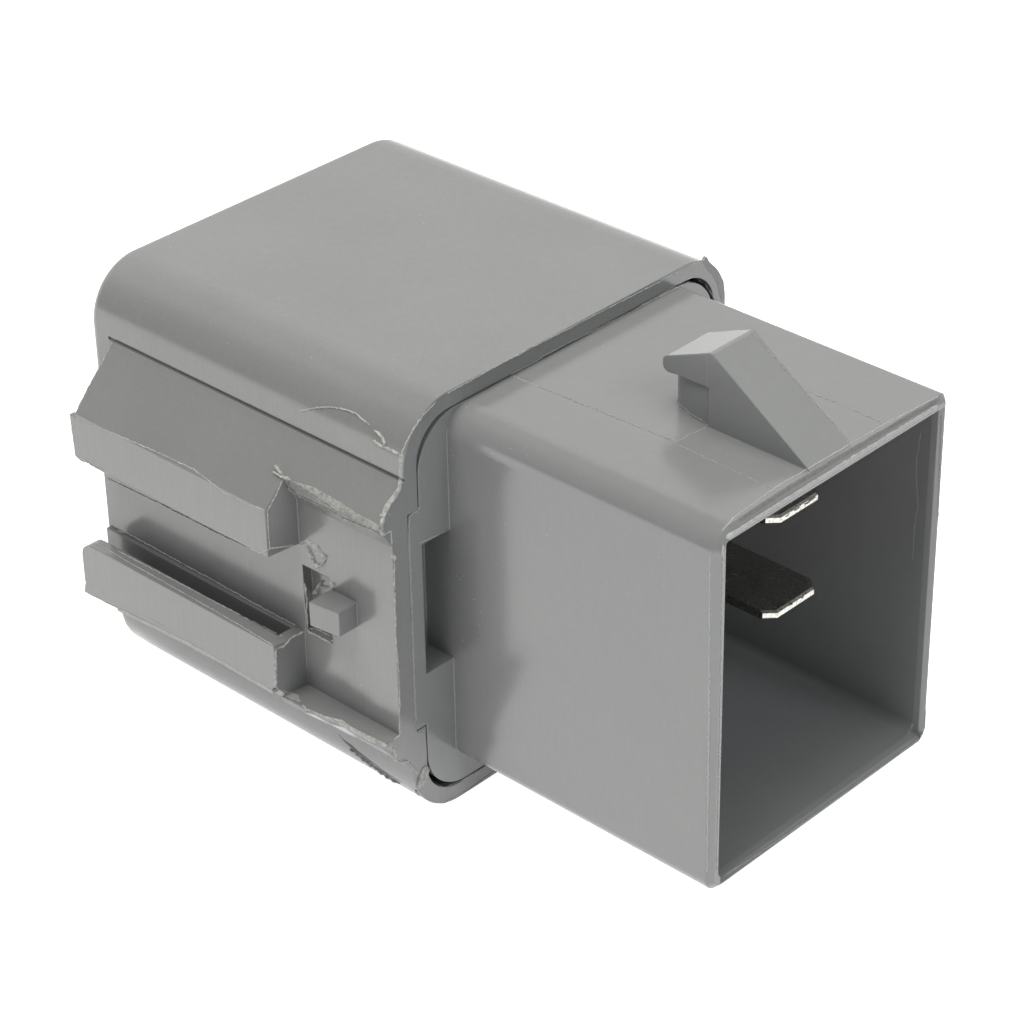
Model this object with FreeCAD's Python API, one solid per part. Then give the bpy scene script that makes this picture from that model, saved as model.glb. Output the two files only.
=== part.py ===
import FreeCAD, Part
import math
import os

from FreeCAD import Vector

# Lengths in mm. While a piece is drawn, x = 0 is the cover's rim and +X points out of the connector's mouth,
# y = 0 is the middle of the connector and z = 0 is the cover's underside.
# At the end every piece is moved along X so that the origin lies in the middle of the underside.
ORIGIN_BEHIND_RIM = 18.0

# Cover.
COVER_WIDTH = 39.5
COVER_HEIGHT = 39.8
COVER_DEPTH = 38.0
COVER_SHIFT = 0.4
COVER_WALL = 1.5
COVER_EDGE_RADIUS = 5.3
CLOSED_END_ROUNDING = 1.0
FAR_SIDE_DRAFT = 0.35

# Bracket slot on the cover's near side.
PAD_RAISE = 1.5
SLOT_BOTTOM = 10.0
SLOT_HEIGHT = 20.0
SLOT_DEPTH = 1.85
RAIL_THICK = 1.4
OPENING_BOTTOM = 15.4
OPENING_HEIGHT = 8.8
CREASE_ABOVE_SLOT = 3.9
WEDGE_EDGE_BELOW_SLOT = 1.3
WEDGE_THICK = 1.45
GUSSET_EDGE_ABOVE_SLOT = 1.2
GUSSET_DROP = 4.5
UPPER_RAIL_BACK = 35.0
LOWER_RAIL_BACK = 36.0
RAIL_FRONT = 11.0
RAIL_END_SKEW = 0.4
END_WEB = 1.3
CREASE_GROOVE = 0.22
CORING_DEPTH = 1.2
CORING_BACK = 34.0
CORING_BEYOND_SLOT = 0.6
FLOOR_STEP = 0.3

# Torn edges that are left where both rails stop short of the rim: distance behind the rim, reach from the pad.
UPPER_TEAR = ((11.4, 1.15), (9.2, 1.18), (7.7, 1.28), (6.1, 1.4), (4.5, 1.52), (0.0, 1.5))
UPPER_TEAR_FOOT_BELOW_SLOT = 1.6
LOWER_TEAR = ((11.4, 2.6), (8.8, 2.55), (7.9, 2.25), (6.0, 2.25), (4.8, 1.85), (3.0, 2.05), (1.4, 2.0), (0.0, 1.9))
LOWER_TEAR_FACE = 0.45

# Detent block and the window beside it.
DETENT_BACK = 7.45
DETENT_LENGTH = 3.0
DETENT_RAISE = 2.5
DETENT_RAMP = 0.4
DETENT_BOTTOM = 18.9
DETENT_HEIGHT = 2.3
WINDOW_BACK = 10.8
WINDOW_LENGTH = 3.2
WINDOW_BOTTOM = 15.75
WINDOW_HEIGHT = 6.45
WINDOW_DEPTH = 1.0

# Header: flange, shroud and latch in one moulding.
FLANGE_GAP = 0.15
FLANGE_THICK = 5.0
FLANGE_EDGE_RADIUS = 4.6
NOTCH_BOTTOM = 14.5
NOTCH_HEIGHT = 12.6
NOTCH_DEPTH = 3.0
SHROUD_WIDTH = 28.7
SHROUD_BOTTOM = 4.2
SHROUD_LENGTH = 28.0
SHROUD_WALL = 1.0
SHROUD_EDGE_RADIUS = 1.5
SHROUD_NEAR_TOP_RADIUS = 2.5
SHROUD_FAR_TOP_RADIUS = 0.6
CAVITY_TOP_RADIUS = 0.3
CAVITY_BOTTOM_RADIUS = 1.0
MOUTH_CHAMFER = 0.5
LIP_LENGTH = 0.9
LIP_KNEE = 0.35
LIP_KNEE_DEPTH = 0.13
LIP_DEPTH = 0.4
FOOT_RIB = 1.2

# Latch: ramp, overhanging nose and the column under it.
LATCH_WIDTH = 5.1
LATCH_HEIGHT = 6.6
LATCH_FRONT_BACK_OF_MOUTH = 0.7
RAMP_LENGTH = 10.2
RIDGE_FLAT = 0.35
NOSE_LENGTH = 4.7
NOSE_TIP_DROP = 2.6
NOSE_THICK = 3.1
NOSE_TIP_THICK = 1.3
NOSE_TIP_RADIUS = 0.6
NOSE_UNDERSIDE_SLOPE_START = 0.7
COLUMN_LENGTH = 4.9
COLUMN_SET_BACK = 0.22

# Blades.
BLADE_WIDTH = 6.3
BLADE_THICK = 0.8
BLADE_TIP_BACK_OF_MOUTH = 3.55
BLADE_TIP_CHAMFER = 0.85
BLADE_EDGE_BEVEL = 0.18
COMMON_Z = 23.6
LOAD_Z = 32.5
COIL_BLADE_Y = -10.6
COIL_A_Z = 14.6
COIL_B_Z = 28.5
COIL_POST_LENGTH = 5.0
COIL_POST_WIDTH = 2.0

# Magnet: yoke, core, bobbin and winding.
SPRING_BAY = 3.45
YOKE_THICK = 2.2
YOKE_HALF_WIDTH = 8.0
YOKE_BEND_RADIUS = 1.5
YOKE_ROOM = 1.0
FOOT_EDGE = 1.35
END_ROOM = 6.2
KNIFE_RELIEF = 0.3
PRONG_WIDTH = 2.5
PRONG_REACH = 2.9
CORE_RADIUS = 3.5
CORE_CLEARANCE = 0.1
POLE_RADIUS = 6.0
POLE_THICK = 0.8
TAB_BEHIND_POLE_FACE = 0.9
AIR_GAP = 0.9
BOBBIN_RADIUS = 9.5
BOBBIN_FLANGE = 1.2
BOBBIN_WALL = 1.0
WINDING_RADIUS = 8.5
TAPE_THICK = 0.15
LEAD_RADIUS = 0.25
LEAD_BEHIND_FLANGE = 1.0

# Armature, contacts and stop.
ARMATURE_THICK = 1.8
ARMATURE_REACH = 9.0
PRONG_CLEARANCE = 0.15
TAIL_ROOM = 0.7
RESIDUAL_GAP = 0.03
LEAF_THICK = 0.3
LEAF_START = 6.5
LEAF_HALF_WIDTH = 4.0
LEAF_TIP_HALF_WIDTH = 2.6
LEAF_TIP_EDGE = 2.3
RIVET_HEAD_RADIUS = 1.2
RIVET_HEAD = 0.5
RIVET_HEAD_BEVEL = 0.25
RIVET_SHANK_RADIUS = 0.7
RIVET_SPACING = 7.0
CONTACT_RADIUS = 1.6
CONTACT_SHANK_RADIUS = 0.8
CONTACT_TAIL_RADIUS = 1.3
CONTACT_TAIL = 0.4
FIXED_CONTACT_HEAD = 0.8
CONTACT_Y = -12.25
CONTACT_PLAY = 0.03
ARM_HALF_WIDTH = 2.25
ARM_BAR = 4.5
TAB_BELOW_CONTACT = 2.2
STOP_FROM_WALL = 2.35
STOP_BOTTOM = 9.5
STOP_WIDTH = 4.0
STOP_ANCHOR = 3.0
STOP_PAD_ABOVE_CONTACT = 2.3

# Return spring and resistor.
SPRING_PLACE_IN_BAY = 0.45
SPRING_RADIUS = 1.1
SPRING_WIRE_RADIUS = 0.22
SPRING_PITCH = 1.4
SPRING_TURNS = 9
SPRING_STEPS_A_TURN = 10
SPRING_BUTTON_RADIUS = 0.8
SPRING_BUTTON = 0.4
SPRING_HOLE_RADIUS = 0.45
LUG_THICK = 0.8
LUG_HALF_WIDTH = 2.0
LUG_BACK = 12.0
RESISTOR_RADIUS = 1.2
RESISTOR_END_BEVEL = 0.4
RESISTOR_LENGTH = 6.5
RESISTOR_LEAD_RADIUS = 0.3
RESISTOR_BACK = 7.6

# Places that follow from the sizes above.
COVER_NEAR_Y = COVER_SHIFT - COVER_WIDTH / 2
COVER_FAR_Y = COVER_SHIFT + COVER_WIDTH / 2
ROOM_NEAR_Y = COVER_NEAR_Y + COVER_WALL
ROOM_FAR_Y = COVER_FAR_Y - COVER_WALL
ROOM_TOP = COVER_HEIGHT - COVER_WALL
ROOM_BACK = -(COVER_DEPTH - COVER_WALL)
PAD_Y = COVER_NEAR_Y - PAD_RAISE
HOOK_Y = PAD_Y - SLOT_DEPTH
RAIL_Y = HOOK_Y - RAIL_THICK
SLOT_TOP = SLOT_BOTTOM + SLOT_HEIGHT
OPENING_TOP = OPENING_BOTTOM + OPENING_HEIGHT
CREASE_Z = SLOT_TOP + CREASE_ABOVE_SLOT
WEDGE_EDGE_Z = SLOT_TOP - WEDGE_EDGE_BELOW_SLOT
GUSSET_EDGE_Z = SLOT_BOTTOM + GUSSET_EDGE_ABOVE_SLOT
GUSSET_FOOT_Z = SLOT_BOTTOM - GUSSET_DROP
WEDGE_SLOPE = (CREASE_Z - WEDGE_EDGE_Z) / (COVER_NEAR_Y - RAIL_Y)

HEADER_BACK = -FLANGE_THICK
HEADER_TOP = ROOM_TOP - FLANGE_GAP
SHROUD_NEAR_Y = -SHROUD_WIDTH / 2
LATCH_FRONT_X = SHROUD_LENGTH - LATCH_FRONT_BACK_OF_MOUTH
RIDGE_X = LATCH_FRONT_X - RAMP_LENGTH
BLADE_TIP_X = SHROUD_LENGTH - BLADE_TIP_BACK_OF_MOUTH

YOKE_OUTER_Y = ROOM_FAR_Y - SPRING_BAY
HINGE_Y = YOKE_OUTER_Y - YOKE_THICK
COIL_Y = HINGE_Y - YOKE_ROOM - BOBBIN_RADIUS
FOOT_TOP = COMMON_Z + BLADE_THICK / 2 + FOOT_EDGE
COIL_Z = FOOT_TOP - YOKE_HALF_WIDTH
FOOT_NEAR_Y = -BLADE_WIDTH / 2 - FOOT_EDGE
FOOT_BACK = HEADER_BACK - YOKE_THICK
HINGE_X = ROOM_BACK + END_ROOM
POLE_X = HINGE_X + AIR_GAP
BOBBIN_BACK = POLE_X + POLE_THICK
WINDING_BACK = BOBBIN_BACK + BOBBIN_FLANGE
WINDING_FRONT = FOOT_BACK - BOBBIN_FLANGE
ARMATURE_BACK = HINGE_X - ARMATURE_THICK
LEAF_BACK = ARMATURE_BACK - LEAF_THICK
TAIL_END_Y = ROOM_FAR_Y - TAIL_ROOM
SPRING_Y = YOKE_OUTER_Y + (ROOM_FAR_Y - YOKE_OUTER_Y) * SPRING_PLACE_IN_BAY
RIVET_Y = COIL_Y + RIVET_SPACING / 2
STOP_Y = ROOM_NEAR_Y + STOP_FROM_WALL

# The armature closes until its face meets the far edge of the pole.
CLOSED_TANGENT = (AIR_GAP - RESIDUAL_GAP) / (HINGE_Y - COIL_Y + POLE_RADIUS)
CONTACT_TRAVEL = (HINGE_Y - CONTACT_Y + CONTACT_RADIUS) * CLOSED_TANGENT
TAIL_TRAVEL = (SPRING_Y + SPRING_BUTTON_RADIUS - HINGE_Y) * CLOSED_TANGENT
TAB_BACK = POLE_X + TAB_BEHIND_POLE_FACE
FIXED_CONTACT_X = TAB_BACK - FIXED_CONTACT_HEAD
MOVING_CONTACT_X = FIXED_CONTACT_X - CONTACT_TRAVEL - CONTACT_PLAY
STOP_FACE_X = LEAF_BACK - CONTACT_TAIL - CONTACT_PLAY

OVERLAP = 0.5
TOUCHING = 1e-6


def box(x0, x1, y0, y1, z0, z1):
    return Part.makeBox(x1 - x0, y1 - y0, z1 - z0, Vector(x0, y0, z0))


def rod(x0, x1, y, z, radius):
    return Part.makeCylinder(radius, x1 - x0, Vector(x0, y, z), Vector(1, 0, 0))


def prism(points, path):
    outline = Part.makePolygon(points + [points[0]])
    return Part.Face(outline).extrude(path)


def prism_x(outline, x0, x1):
    return prism([Vector(x0, y, z) for y, z in outline], Vector(x1 - x0, 0, 0))


def prism_y(outline, y0, y1):
    return prism([Vector(x, y0, z) for x, z in outline], Vector(0, y1 - y0, 0))


def prism_z(outline, z0, z1):
    return prism([Vector(x, y, z0) for x, y in outline], Vector(0, 0, z1 - z0))


def edges_along_x(shape):
    found = []
    for edge in shape.Edges:
        first, last = edge.Vertexes[0].Point, edge.Vertexes[-1].Point
        if abs(last.x - first.x) > 0.9 * edge.Length:
            found.append(edge)
    return found


def edges_in_plane_x(shape, x):
    return [edge for edge in shape.Edges if all(abs(v.X - x) < TOUCHING for v in edge.Vertexes)]


def rounded_block(x0, x1, y0, y1, z0, z1, radius):
    block = box(x0, x1, y0, y1, z0, z1)
    return block.makeFillet(radius, edges_along_x(block))


def round_corner(block, y, z, radius):
    """Round the edge along X that passes through one corner of the block's outline."""
    corner = [
        edge
        for edge in edges_along_x(block)
        if all(abs(v.Y - y) < TOUCHING and abs(v.Z - z) < TOUCHING for v in edge.Vertexes)
    ]
    return block.makeFillet(radius, corner)


def slope_z(y):
    """Height of the upper rail's sloping face above a place on its width."""
    return CREASE_Z - (COVER_NEAR_Y - y) * WEDGE_SLOPE


def cover_shell():
    plan = [
        (-COVER_DEPTH, COVER_NEAR_Y),
        (0, COVER_NEAR_Y),
        (0, COVER_FAR_Y),
        (-COVER_DEPTH, COVER_FAR_Y - FAR_SIDE_DRAFT),
    ]
    outer = prism_z(plan, 0, COVER_HEIGHT)
    outer = outer.makeFillet(COVER_EDGE_RADIUS, edges_along_x(outer))
    outer = outer.makeFillet(CLOSED_END_ROUNDING, edges_in_plane_x(outer, -COVER_DEPTH))
    room = rounded_block(
        ROOM_BACK, OVERLAP, ROOM_NEAR_Y, ROOM_FAR_Y, COVER_WALL, ROOM_TOP, COVER_EDGE_RADIUS - COVER_WALL
    )
    return outer, room


def upper_rail():
    """Sloping wall and hook over the slot, with the web that closes its undercut towards the rim."""
    inner_drop = WEDGE_THICK * math.hypot(1, WEDGE_SLOPE)
    outline = [
        (COVER_NEAR_Y + OVERLAP, CREASE_Z - inner_drop),
        (COVER_NEAR_Y + OVERLAP, slope_z(COVER_NEAR_Y + OVERLAP)),
        (RAIL_Y, WEDGE_EDGE_Z),
        (RAIL_Y, OPENING_TOP),
        (HOOK_Y, OPENING_TOP),
        (HOOK_Y, slope_z(HOOK_Y) - inner_drop),
    ]
    rail = prism_x(outline, -UPPER_RAIL_BACK, -RAIL_FRONT)
    web = [
        (COVER_NEAR_Y + OVERLAP, SLOT_TOP),
        (COVER_NEAR_Y + OVERLAP, slope_z(COVER_NEAR_Y + OVERLAP)),
        (RAIL_Y, WEDGE_EDGE_Z),
        (RAIL_Y, OPENING_TOP),
        (PAD_Y + OVERLAP, OPENING_TOP),
    ]
    return rail.fuse(prism_x(web, -RAIL_FRONT - END_WEB, -RAIL_FRONT))


def lower_rail():
    """Hook under the slot with its gusset, and the web that closes its undercut towards the rim."""
    outline = [
        (COVER_NEAR_Y + OVERLAP, GUSSET_FOOT_Z - OVERLAP),
        (COVER_NEAR_Y + OVERLAP, SLOT_BOTTOM),
        (HOOK_Y, SLOT_BOTTOM),
        (HOOK_Y, OPENING_BOTTOM),
        (RAIL_Y, OPENING_BOTTOM),
        (RAIL_Y, GUSSET_EDGE_Z),
        (COVER_NEAR_Y, GUSSET_FOOT_Z),
    ]
    rail = prism_x(outline, -LOWER_RAIL_BACK, -RAIL_FRONT)
    corner = [
        edge
        for edge in rail.Edges
        if all(abs(v.X + LOWER_RAIL_BACK) < TOUCHING and abs(v.Z - OPENING_BOTTOM) < TOUCHING for v in edge.Vertexes)
    ]
    rail = rail.makeFillet(RAIL_THICK, corner)
    web_outline = [
        (PAD_Y + OVERLAP, SLOT_BOTTOM - OVERLAP),
        (HOOK_Y, SLOT_BOTTOM - OVERLAP),
        (RAIL_Y, GUSSET_EDGE_Z),
        (RAIL_Y, OPENING_BOTTOM),
        (PAD_Y + OVERLAP, OPENING_BOTTOM),
    ]
    web = prism_x(web_outline, -RAIL_FRONT - END_WEB, -RAIL_FRONT)
    return rail.fuse(web)


def skew_cut():
    """Wedge of air that sets the front ends of both rails askew."""
    outline = [
        (-RAIL_FRONT, PAD_Y),
        (-RAIL_FRONT - RAIL_END_SKEW, RAIL_Y - OVERLAP),
        (-RAIL_FRONT + OVERLAP, RAIL_Y - OVERLAP),
        (-RAIL_FRONT + OVERLAP, PAD_Y),
    ]
    return prism_z(outline, GUSSET_FOOT_Z, CREASE_Z)


def torn_strip(tear, section):
    """Run of straight pieces whose edge follows the tear; section gives the outline for one reach."""
    strip = None
    for (back, reach), (next_back, next_reach) in zip(tear, tear[1:]):
        wires = []
        for distance, out in ((back, reach), (next_back, next_reach)):
            points = [Vector(-distance, y, z) for y, z in section(out)]
            wires.append(Part.makePolygon(points + [points[0]]))
        piece = Part.makeLoft(wires, True, True)
        strip = piece if strip is None else strip.fuse(piece)
    return strip


def upper_tear_section(reach):
    edge_y = PAD_Y - reach
    return [
        (COVER_NEAR_Y + OVERLAP, SLOT_TOP),
        (COVER_NEAR_Y + OVERLAP, slope_z(COVER_NEAR_Y + OVERLAP)),
        (edge_y, slope_z(edge_y)),
        (PAD_Y, SLOT_TOP - UPPER_TEAR_FOOT_BELOW_SLOT),
        (PAD_Y + OVERLAP, SLOT_TOP - UPPER_TEAR_FOOT_BELOW_SLOT),
    ]


def lower_tear_section(reach):
    edge_y = PAD_Y - reach
    return [
        (COVER_NEAR_Y + OVERLAP, GUSSET_FOOT_Z - OVERLAP),
        (COVER_NEAR_Y + OVERLAP, SLOT_BOTTOM),
        (edge_y, SLOT_BOTTOM),
        (edge_y, SLOT_BOTTOM - LOWER_TEAR_FACE),
        (COVER_NEAR_Y, GUSSET_FOOT_Z),
    ]


def detent():
    back = -DETENT_BACK
    front = back + DETENT_LENGTH
    outline = [
        (back, PAD_Y - DETENT_RAISE),
        (front, PAD_Y - DETENT_RAISE + DETENT_RAMP),
        (front, PAD_Y + OVERLAP),
        (back, PAD_Y + OVERLAP),
    ]
    return prism_z(outline, DETENT_BOTTOM, DETENT_BOTTOM + DETENT_HEIGHT)


def cover_case():
    outer, room = cover_shell()
    pad = box(-LOWER_RAIL_BACK, 0, PAD_Y, COVER_NEAR_Y + OVERLAP, SLOT_BOTTOM, SLOT_TOP)
    rails = upper_rail().fuse(lower_rail()).cut(skew_cut())
    case = outer.fuse([pad, rails])
    case = case.fuse([torn_strip(UPPER_TEAR, upper_tear_section), torn_strip(LOWER_TEAR, lower_tear_section)])
    step_front = -RAIL_FRONT - END_WEB / 2
    step = box(-LOWER_RAIL_BACK, step_front, PAD_Y - FLOOR_STEP, PAD_Y + OVERLAP, SLOT_BOTTOM, OPENING_BOTTOM)
    case = case.fuse([step, detent()])
    window = box(
        -WINDOW_BACK,
        -WINDOW_BACK + WINDOW_LENGTH,
        PAD_Y - OVERLAP,
        PAD_Y + WINDOW_DEPTH,
        WINDOW_BOTTOM,
        WINDOW_BOTTOM + WINDOW_HEIGHT,
    )
    groove_outline = [
        (COVER_NEAR_Y - CREASE_GROOVE, CREASE_Z),
        (COVER_NEAR_Y, CREASE_Z - CREASE_GROOVE),
        (COVER_NEAR_Y + CREASE_GROOVE, CREASE_Z),
        (COVER_NEAR_Y, CREASE_Z + CREASE_GROOVE),
    ]
    groove = prism_x(groove_outline, -UPPER_RAIL_BACK - OVERLAP, OVERLAP)
    coring = box(
        -CORING_BACK,
        OVERLAP,
        ROOM_NEAR_Y - CORING_DEPTH,
        ROOM_NEAR_Y + OVERLAP,
        SLOT_BOTTOM - CORING_BEYOND_SLOT,
        SLOT_TOP + CORING_BEYOND_SLOT,
    )
    return case.cut([room, coring]).cut(window).cut(groove)


def latch():
    top = HEADER_TOP + LATCH_HEIGHT
    ramp = [
        (LATCH_FRONT_X, HEADER_TOP - OVERLAP),
        (LATCH_FRONT_X, HEADER_TOP),
        (RIDGE_X + RIDGE_FLAT, top),
        (RIDGE_X, top),
        (RIDGE_X, HEADER_TOP - OVERLAP),
    ]
    half = LATCH_WIDTH / 2
    tip_top = top - NOSE_TIP_DROP + NOSE_TIP_THICK / 2
    nose = [
        (RIDGE_X + RIDGE_FLAT, top),
        (RIDGE_X, top),
        (RIDGE_X - NOSE_LENGTH, tip_top),
        (RIDGE_X - NOSE_LENGTH, tip_top - NOSE_TIP_THICK),
        (RIDGE_X - NOSE_LENGTH * NOSE_UNDERSIDE_SLOPE_START, top - NOSE_THICK),
        (RIDGE_X + RIDGE_FLAT, top - NOSE_THICK),
    ]
    nose_block = prism_y(nose, -half, half)
    tip_edges = [
        edge
        for edge in nose_block.Edges
        if all(abs(v.X - RIDGE_X + NOSE_LENGTH) < TOUCHING for v in edge.Vertexes) and edge.Length > half
    ]
    nose_block = nose_block.makeFillet(NOSE_TIP_RADIUS, tip_edges)
    ellipse = Part.Ellipse(Vector(RIDGE_X, 0, HEADER_TOP - OVERLAP), COLUMN_LENGTH, half - COLUMN_SET_BACK).toShape()
    column = Part.Face(Part.Wire(ellipse)).extrude(Vector(0, 0, OVERLAP + LATCH_HEIGHT - NOSE_THICK + OVERLAP))
    behind_ridge = box(
        RIDGE_X - 2 * COLUMN_LENGTH, RIDGE_X + RIDGE_FLAT, -LATCH_WIDTH, LATCH_WIDTH, HEADER_TOP - OVERLAP, top
    )
    return prism_y(ramp, -half, half).fuse([nose_block, column.common(behind_ridge)])


def shroud():
    outer = box(HEADER_BACK, SHROUD_LENGTH, SHROUD_NEAR_Y, -SHROUD_NEAR_Y, SHROUD_BOTTOM, HEADER_TOP)
    outer = round_corner(outer, SHROUD_NEAR_Y, HEADER_TOP, SHROUD_NEAR_TOP_RADIUS)
    outer = round_corner(outer, -SHROUD_NEAR_Y, HEADER_TOP, SHROUD_FAR_TOP_RADIUS)
    outer = round_corner(outer, SHROUD_NEAR_Y, SHROUD_BOTTOM, SHROUD_EDGE_RADIUS)
    outer = round_corner(outer, -SHROUD_NEAR_Y, SHROUD_BOTTOM, SHROUD_EDGE_RADIUS)
    outer = outer.makeChamfer(MOUTH_CHAMFER, edges_in_plane_x(outer, SHROUD_LENGTH))
    near = SHROUD_NEAR_Y + SHROUD_WALL
    bottom = SHROUD_BOTTOM + SHROUD_WALL
    top = HEADER_TOP - SHROUD_WALL
    cavity = box(0, SHROUD_LENGTH + OVERLAP, near, -near, bottom, top)
    for y, z, radius in (
        (near, top, CAVITY_TOP_RADIUS),
        (-near, top, CAVITY_TOP_RADIUS),
        (near, bottom, CAVITY_BOTTOM_RADIUS),
        (-near, bottom, CAVITY_BOTTOM_RADIUS),
    ):
        cavity = round_corner(cavity, y, z, radius)
    return outer, cavity


def flared_lip():
    """Air that rounds off the mouth's inner edge along its bottom and its far side."""
    near = SHROUD_NEAR_Y + SHROUD_WALL
    bottom = SHROUD_BOTTOM + SHROUD_WALL
    flare = [
        (-LIP_LENGTH, -OVERLAP),
        (-LIP_LENGTH, 0),
        (-LIP_KNEE, LIP_KNEE_DEPTH),
        (0, LIP_DEPTH),
        (OVERLAP, LIP_DEPTH),
        (OVERLAP, -OVERLAP),
    ]
    low = prism_y([(SHROUD_LENGTH + x, bottom - out) for x, out in flare], near + CAVITY_TOP_RADIUS, -near)
    far = prism_z([(SHROUD_LENGTH + x, -near + out) for x, out in flare], bottom, HEADER_TOP - SHROUD_WALL)
    return [low, far]


def base_header(passing):
    flange = rounded_block(
        HEADER_BACK,
        0,
        ROOM_NEAR_Y + FLANGE_GAP,
        ROOM_FAR_Y - FLANGE_GAP,
        COVER_WALL + FLANGE_GAP,
        HEADER_TOP,
        FLANGE_EDGE_RADIUS,
    )
    notch = box(
        -NOTCH_DEPTH, OVERLAP, ROOM_NEAR_Y, SHROUD_NEAR_Y, NOTCH_BOTTOM, NOTCH_BOTTOM + NOTCH_HEIGHT
    )
    key = box(
        HEADER_BACK,
        0,
        ROOM_NEAR_Y - CORING_DEPTH + FLANGE_GAP,
        ROOM_NEAR_Y + 2 * FLANGE_GAP,
        SLOT_BOTTOM - CORING_BEYOND_SLOT + FLANGE_GAP,
        SLOT_TOP + CORING_BEYOND_SLOT - FLANGE_GAP,
    )
    outer, cavity = shroud()
    foot_bottom = COIL_Z - YOKE_HALF_WIDTH
    ribs = [
        box(FOOT_BACK, HEADER_BACK, FOOT_NEAR_Y, COIL_Y + BOBBIN_RADIUS, foot_bottom - FOOT_RIB, foot_bottom),
        box(FOOT_BACK, HEADER_BACK, FOOT_NEAR_Y, COIL_Y + BOBBIN_RADIUS, FOOT_TOP, FOOT_TOP + FOOT_RIB),
    ]
    header = flange.cut(notch).fuse([outer, latch(), key]).fuse(ribs).cut(cavity)
    return header.cut(flared_lip()).cut(passing)


def blade_outline(back):
    half = BLADE_WIDTH / 2
    return [
        (back, -half),
        (BLADE_TIP_X - BLADE_TIP_CHAMFER, -half),
        (BLADE_TIP_X, -half + BLADE_TIP_CHAMFER),
        (BLADE_TIP_X, half - BLADE_TIP_CHAMFER),
        (BLADE_TIP_X - BLADE_TIP_CHAMFER, half),
        (back, half),
    ]


def bevel_tip(blade):
    tip = [
        edge
        for edge in blade.Edges
        if all(v.X > BLADE_TIP_X - BLADE_TIP_CHAMFER - TOUCHING for v in edge.Vertexes)
        and edge.Length > BLADE_THICK + TOUCHING
    ]
    return blade.makeChamfer(BLADE_EDGE_BEVEL, tip)


def terminal_common():
    blade = prism_z(blade_outline(FOOT_BACK), COMMON_Z - BLADE_THICK / 2, COMMON_Z + BLADE_THICK / 2)
    return bevel_tip(blade)


def terminal_load():
    """Blade, cross bar behind the flange, arm beside the coil and the tab that carries the fixed contact."""
    arm_near = CONTACT_Y - ARM_HALF_WIDTH
    arm_far = CONTACT_Y + ARM_HALF_WIDTH
    bar_back = HEADER_BACK - ARM_BAR
    blade = blade_outline(HEADER_BACK)
    outline = blade[1:5] + [
        (bar_back, BLADE_WIDTH / 2),
        (bar_back, arm_far),
        (TAB_BACK, arm_far),
        (TAB_BACK, arm_near),
        (HEADER_BACK, arm_near),
        blade[0],
    ]
    top = LOAD_Z + BLADE_THICK / 2
    strip = bevel_tip(prism_z(outline, top - BLADE_THICK, top))
    tab = box(TAB_BACK, TAB_BACK + BLADE_THICK, arm_near, arm_far, COIL_Z - TAB_BELOW_CONTACT, top)
    hole = rod(TAB_BACK, TAB_BACK + BLADE_THICK, CONTACT_Y, COIL_Z, CONTACT_SHANK_RADIUS)
    return strip.fuse(tab).cut(hole)


def coil_terminal(z):
    half = BLADE_THICK / 2
    outline = [(x, z + across) for x, across in blade_outline(HEADER_BACK)]
    blade = bevel_tip(prism_y(outline, COIL_BLADE_Y - half, COIL_BLADE_Y + half))
    post = box(
        HEADER_BACK - COIL_POST_LENGTH,
        HEADER_BACK + OVERLAP,
        COIL_BLADE_Y - half,
        COIL_BLADE_Y + half,
        z - COIL_POST_WIDTH / 2,
        z + COIL_POST_WIDTH / 2,
    )
    return blade.fuse(post)


def yoke_frame():
    bottom = COIL_Z - YOKE_HALF_WIDTH
    plan = [
        (HEADER_BACK, FOOT_NEAR_Y),
        (HEADER_BACK, YOKE_OUTER_Y),
        (HINGE_X + KNIFE_RELIEF, YOKE_OUTER_Y),
        (HINGE_X, HINGE_Y),
        (FOOT_BACK, HINGE_Y),
        (FOOT_BACK, FOOT_NEAR_Y),
    ]
    yoke = prism_z(plan, bottom, FOOT_TOP)
    bend = [
        edge
        for edge in yoke.Edges
        if all(abs(v.X - HEADER_BACK) < TOUCHING and abs(v.Y - YOKE_OUTER_Y) < TOUCHING for v in edge.Vertexes)
    ]
    yoke = yoke.makeFillet(YOKE_BEND_RADIUS, bend)
    prongs = [
        box(HINGE_X - PRONG_REACH, HINGE_X + OVERLAP, HINGE_Y, YOKE_OUTER_Y, bottom, bottom + PRONG_WIDTH),
        box(HINGE_X - PRONG_REACH, HINGE_X + OVERLAP, HINGE_Y, YOKE_OUTER_Y, FOOT_TOP - PRONG_WIDTH, FOOT_TOP),
    ]
    lug = box(
        -LUG_BACK, -LUG_BACK + LUG_THICK, YOKE_OUTER_Y, TAIL_END_Y, COIL_Z - LUG_HALF_WIDTH, COIL_Z + LUG_HALF_WIDTH
    )
    lug = lug.cut(rod(-LUG_BACK, -LUG_BACK + LUG_THICK, SPRING_Y, COIL_Z, SPRING_WIRE_RADIUS))
    holes = [
        rod(FOOT_BACK, HEADER_BACK, COIL_Y, COIL_Z, CORE_RADIUS),
        box(
            FOOT_BACK,
            HEADER_BACK,
            -BLADE_WIDTH / 2,
            BLADE_WIDTH / 2,
            COMMON_Z - BLADE_THICK / 2,
            COMMON_Z + BLADE_THICK / 2,
        ),
    ]
    return yoke.fuse(prongs + [lug]).cut(holes)


def core_pin():
    shank = rod(BOBBIN_BACK, HEADER_BACK, COIL_Y, COIL_Z, CORE_RADIUS)
    return shank.fuse(rod(POLE_X, BOBBIN_BACK, COIL_Y, COIL_Z, POLE_RADIUS))


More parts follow.
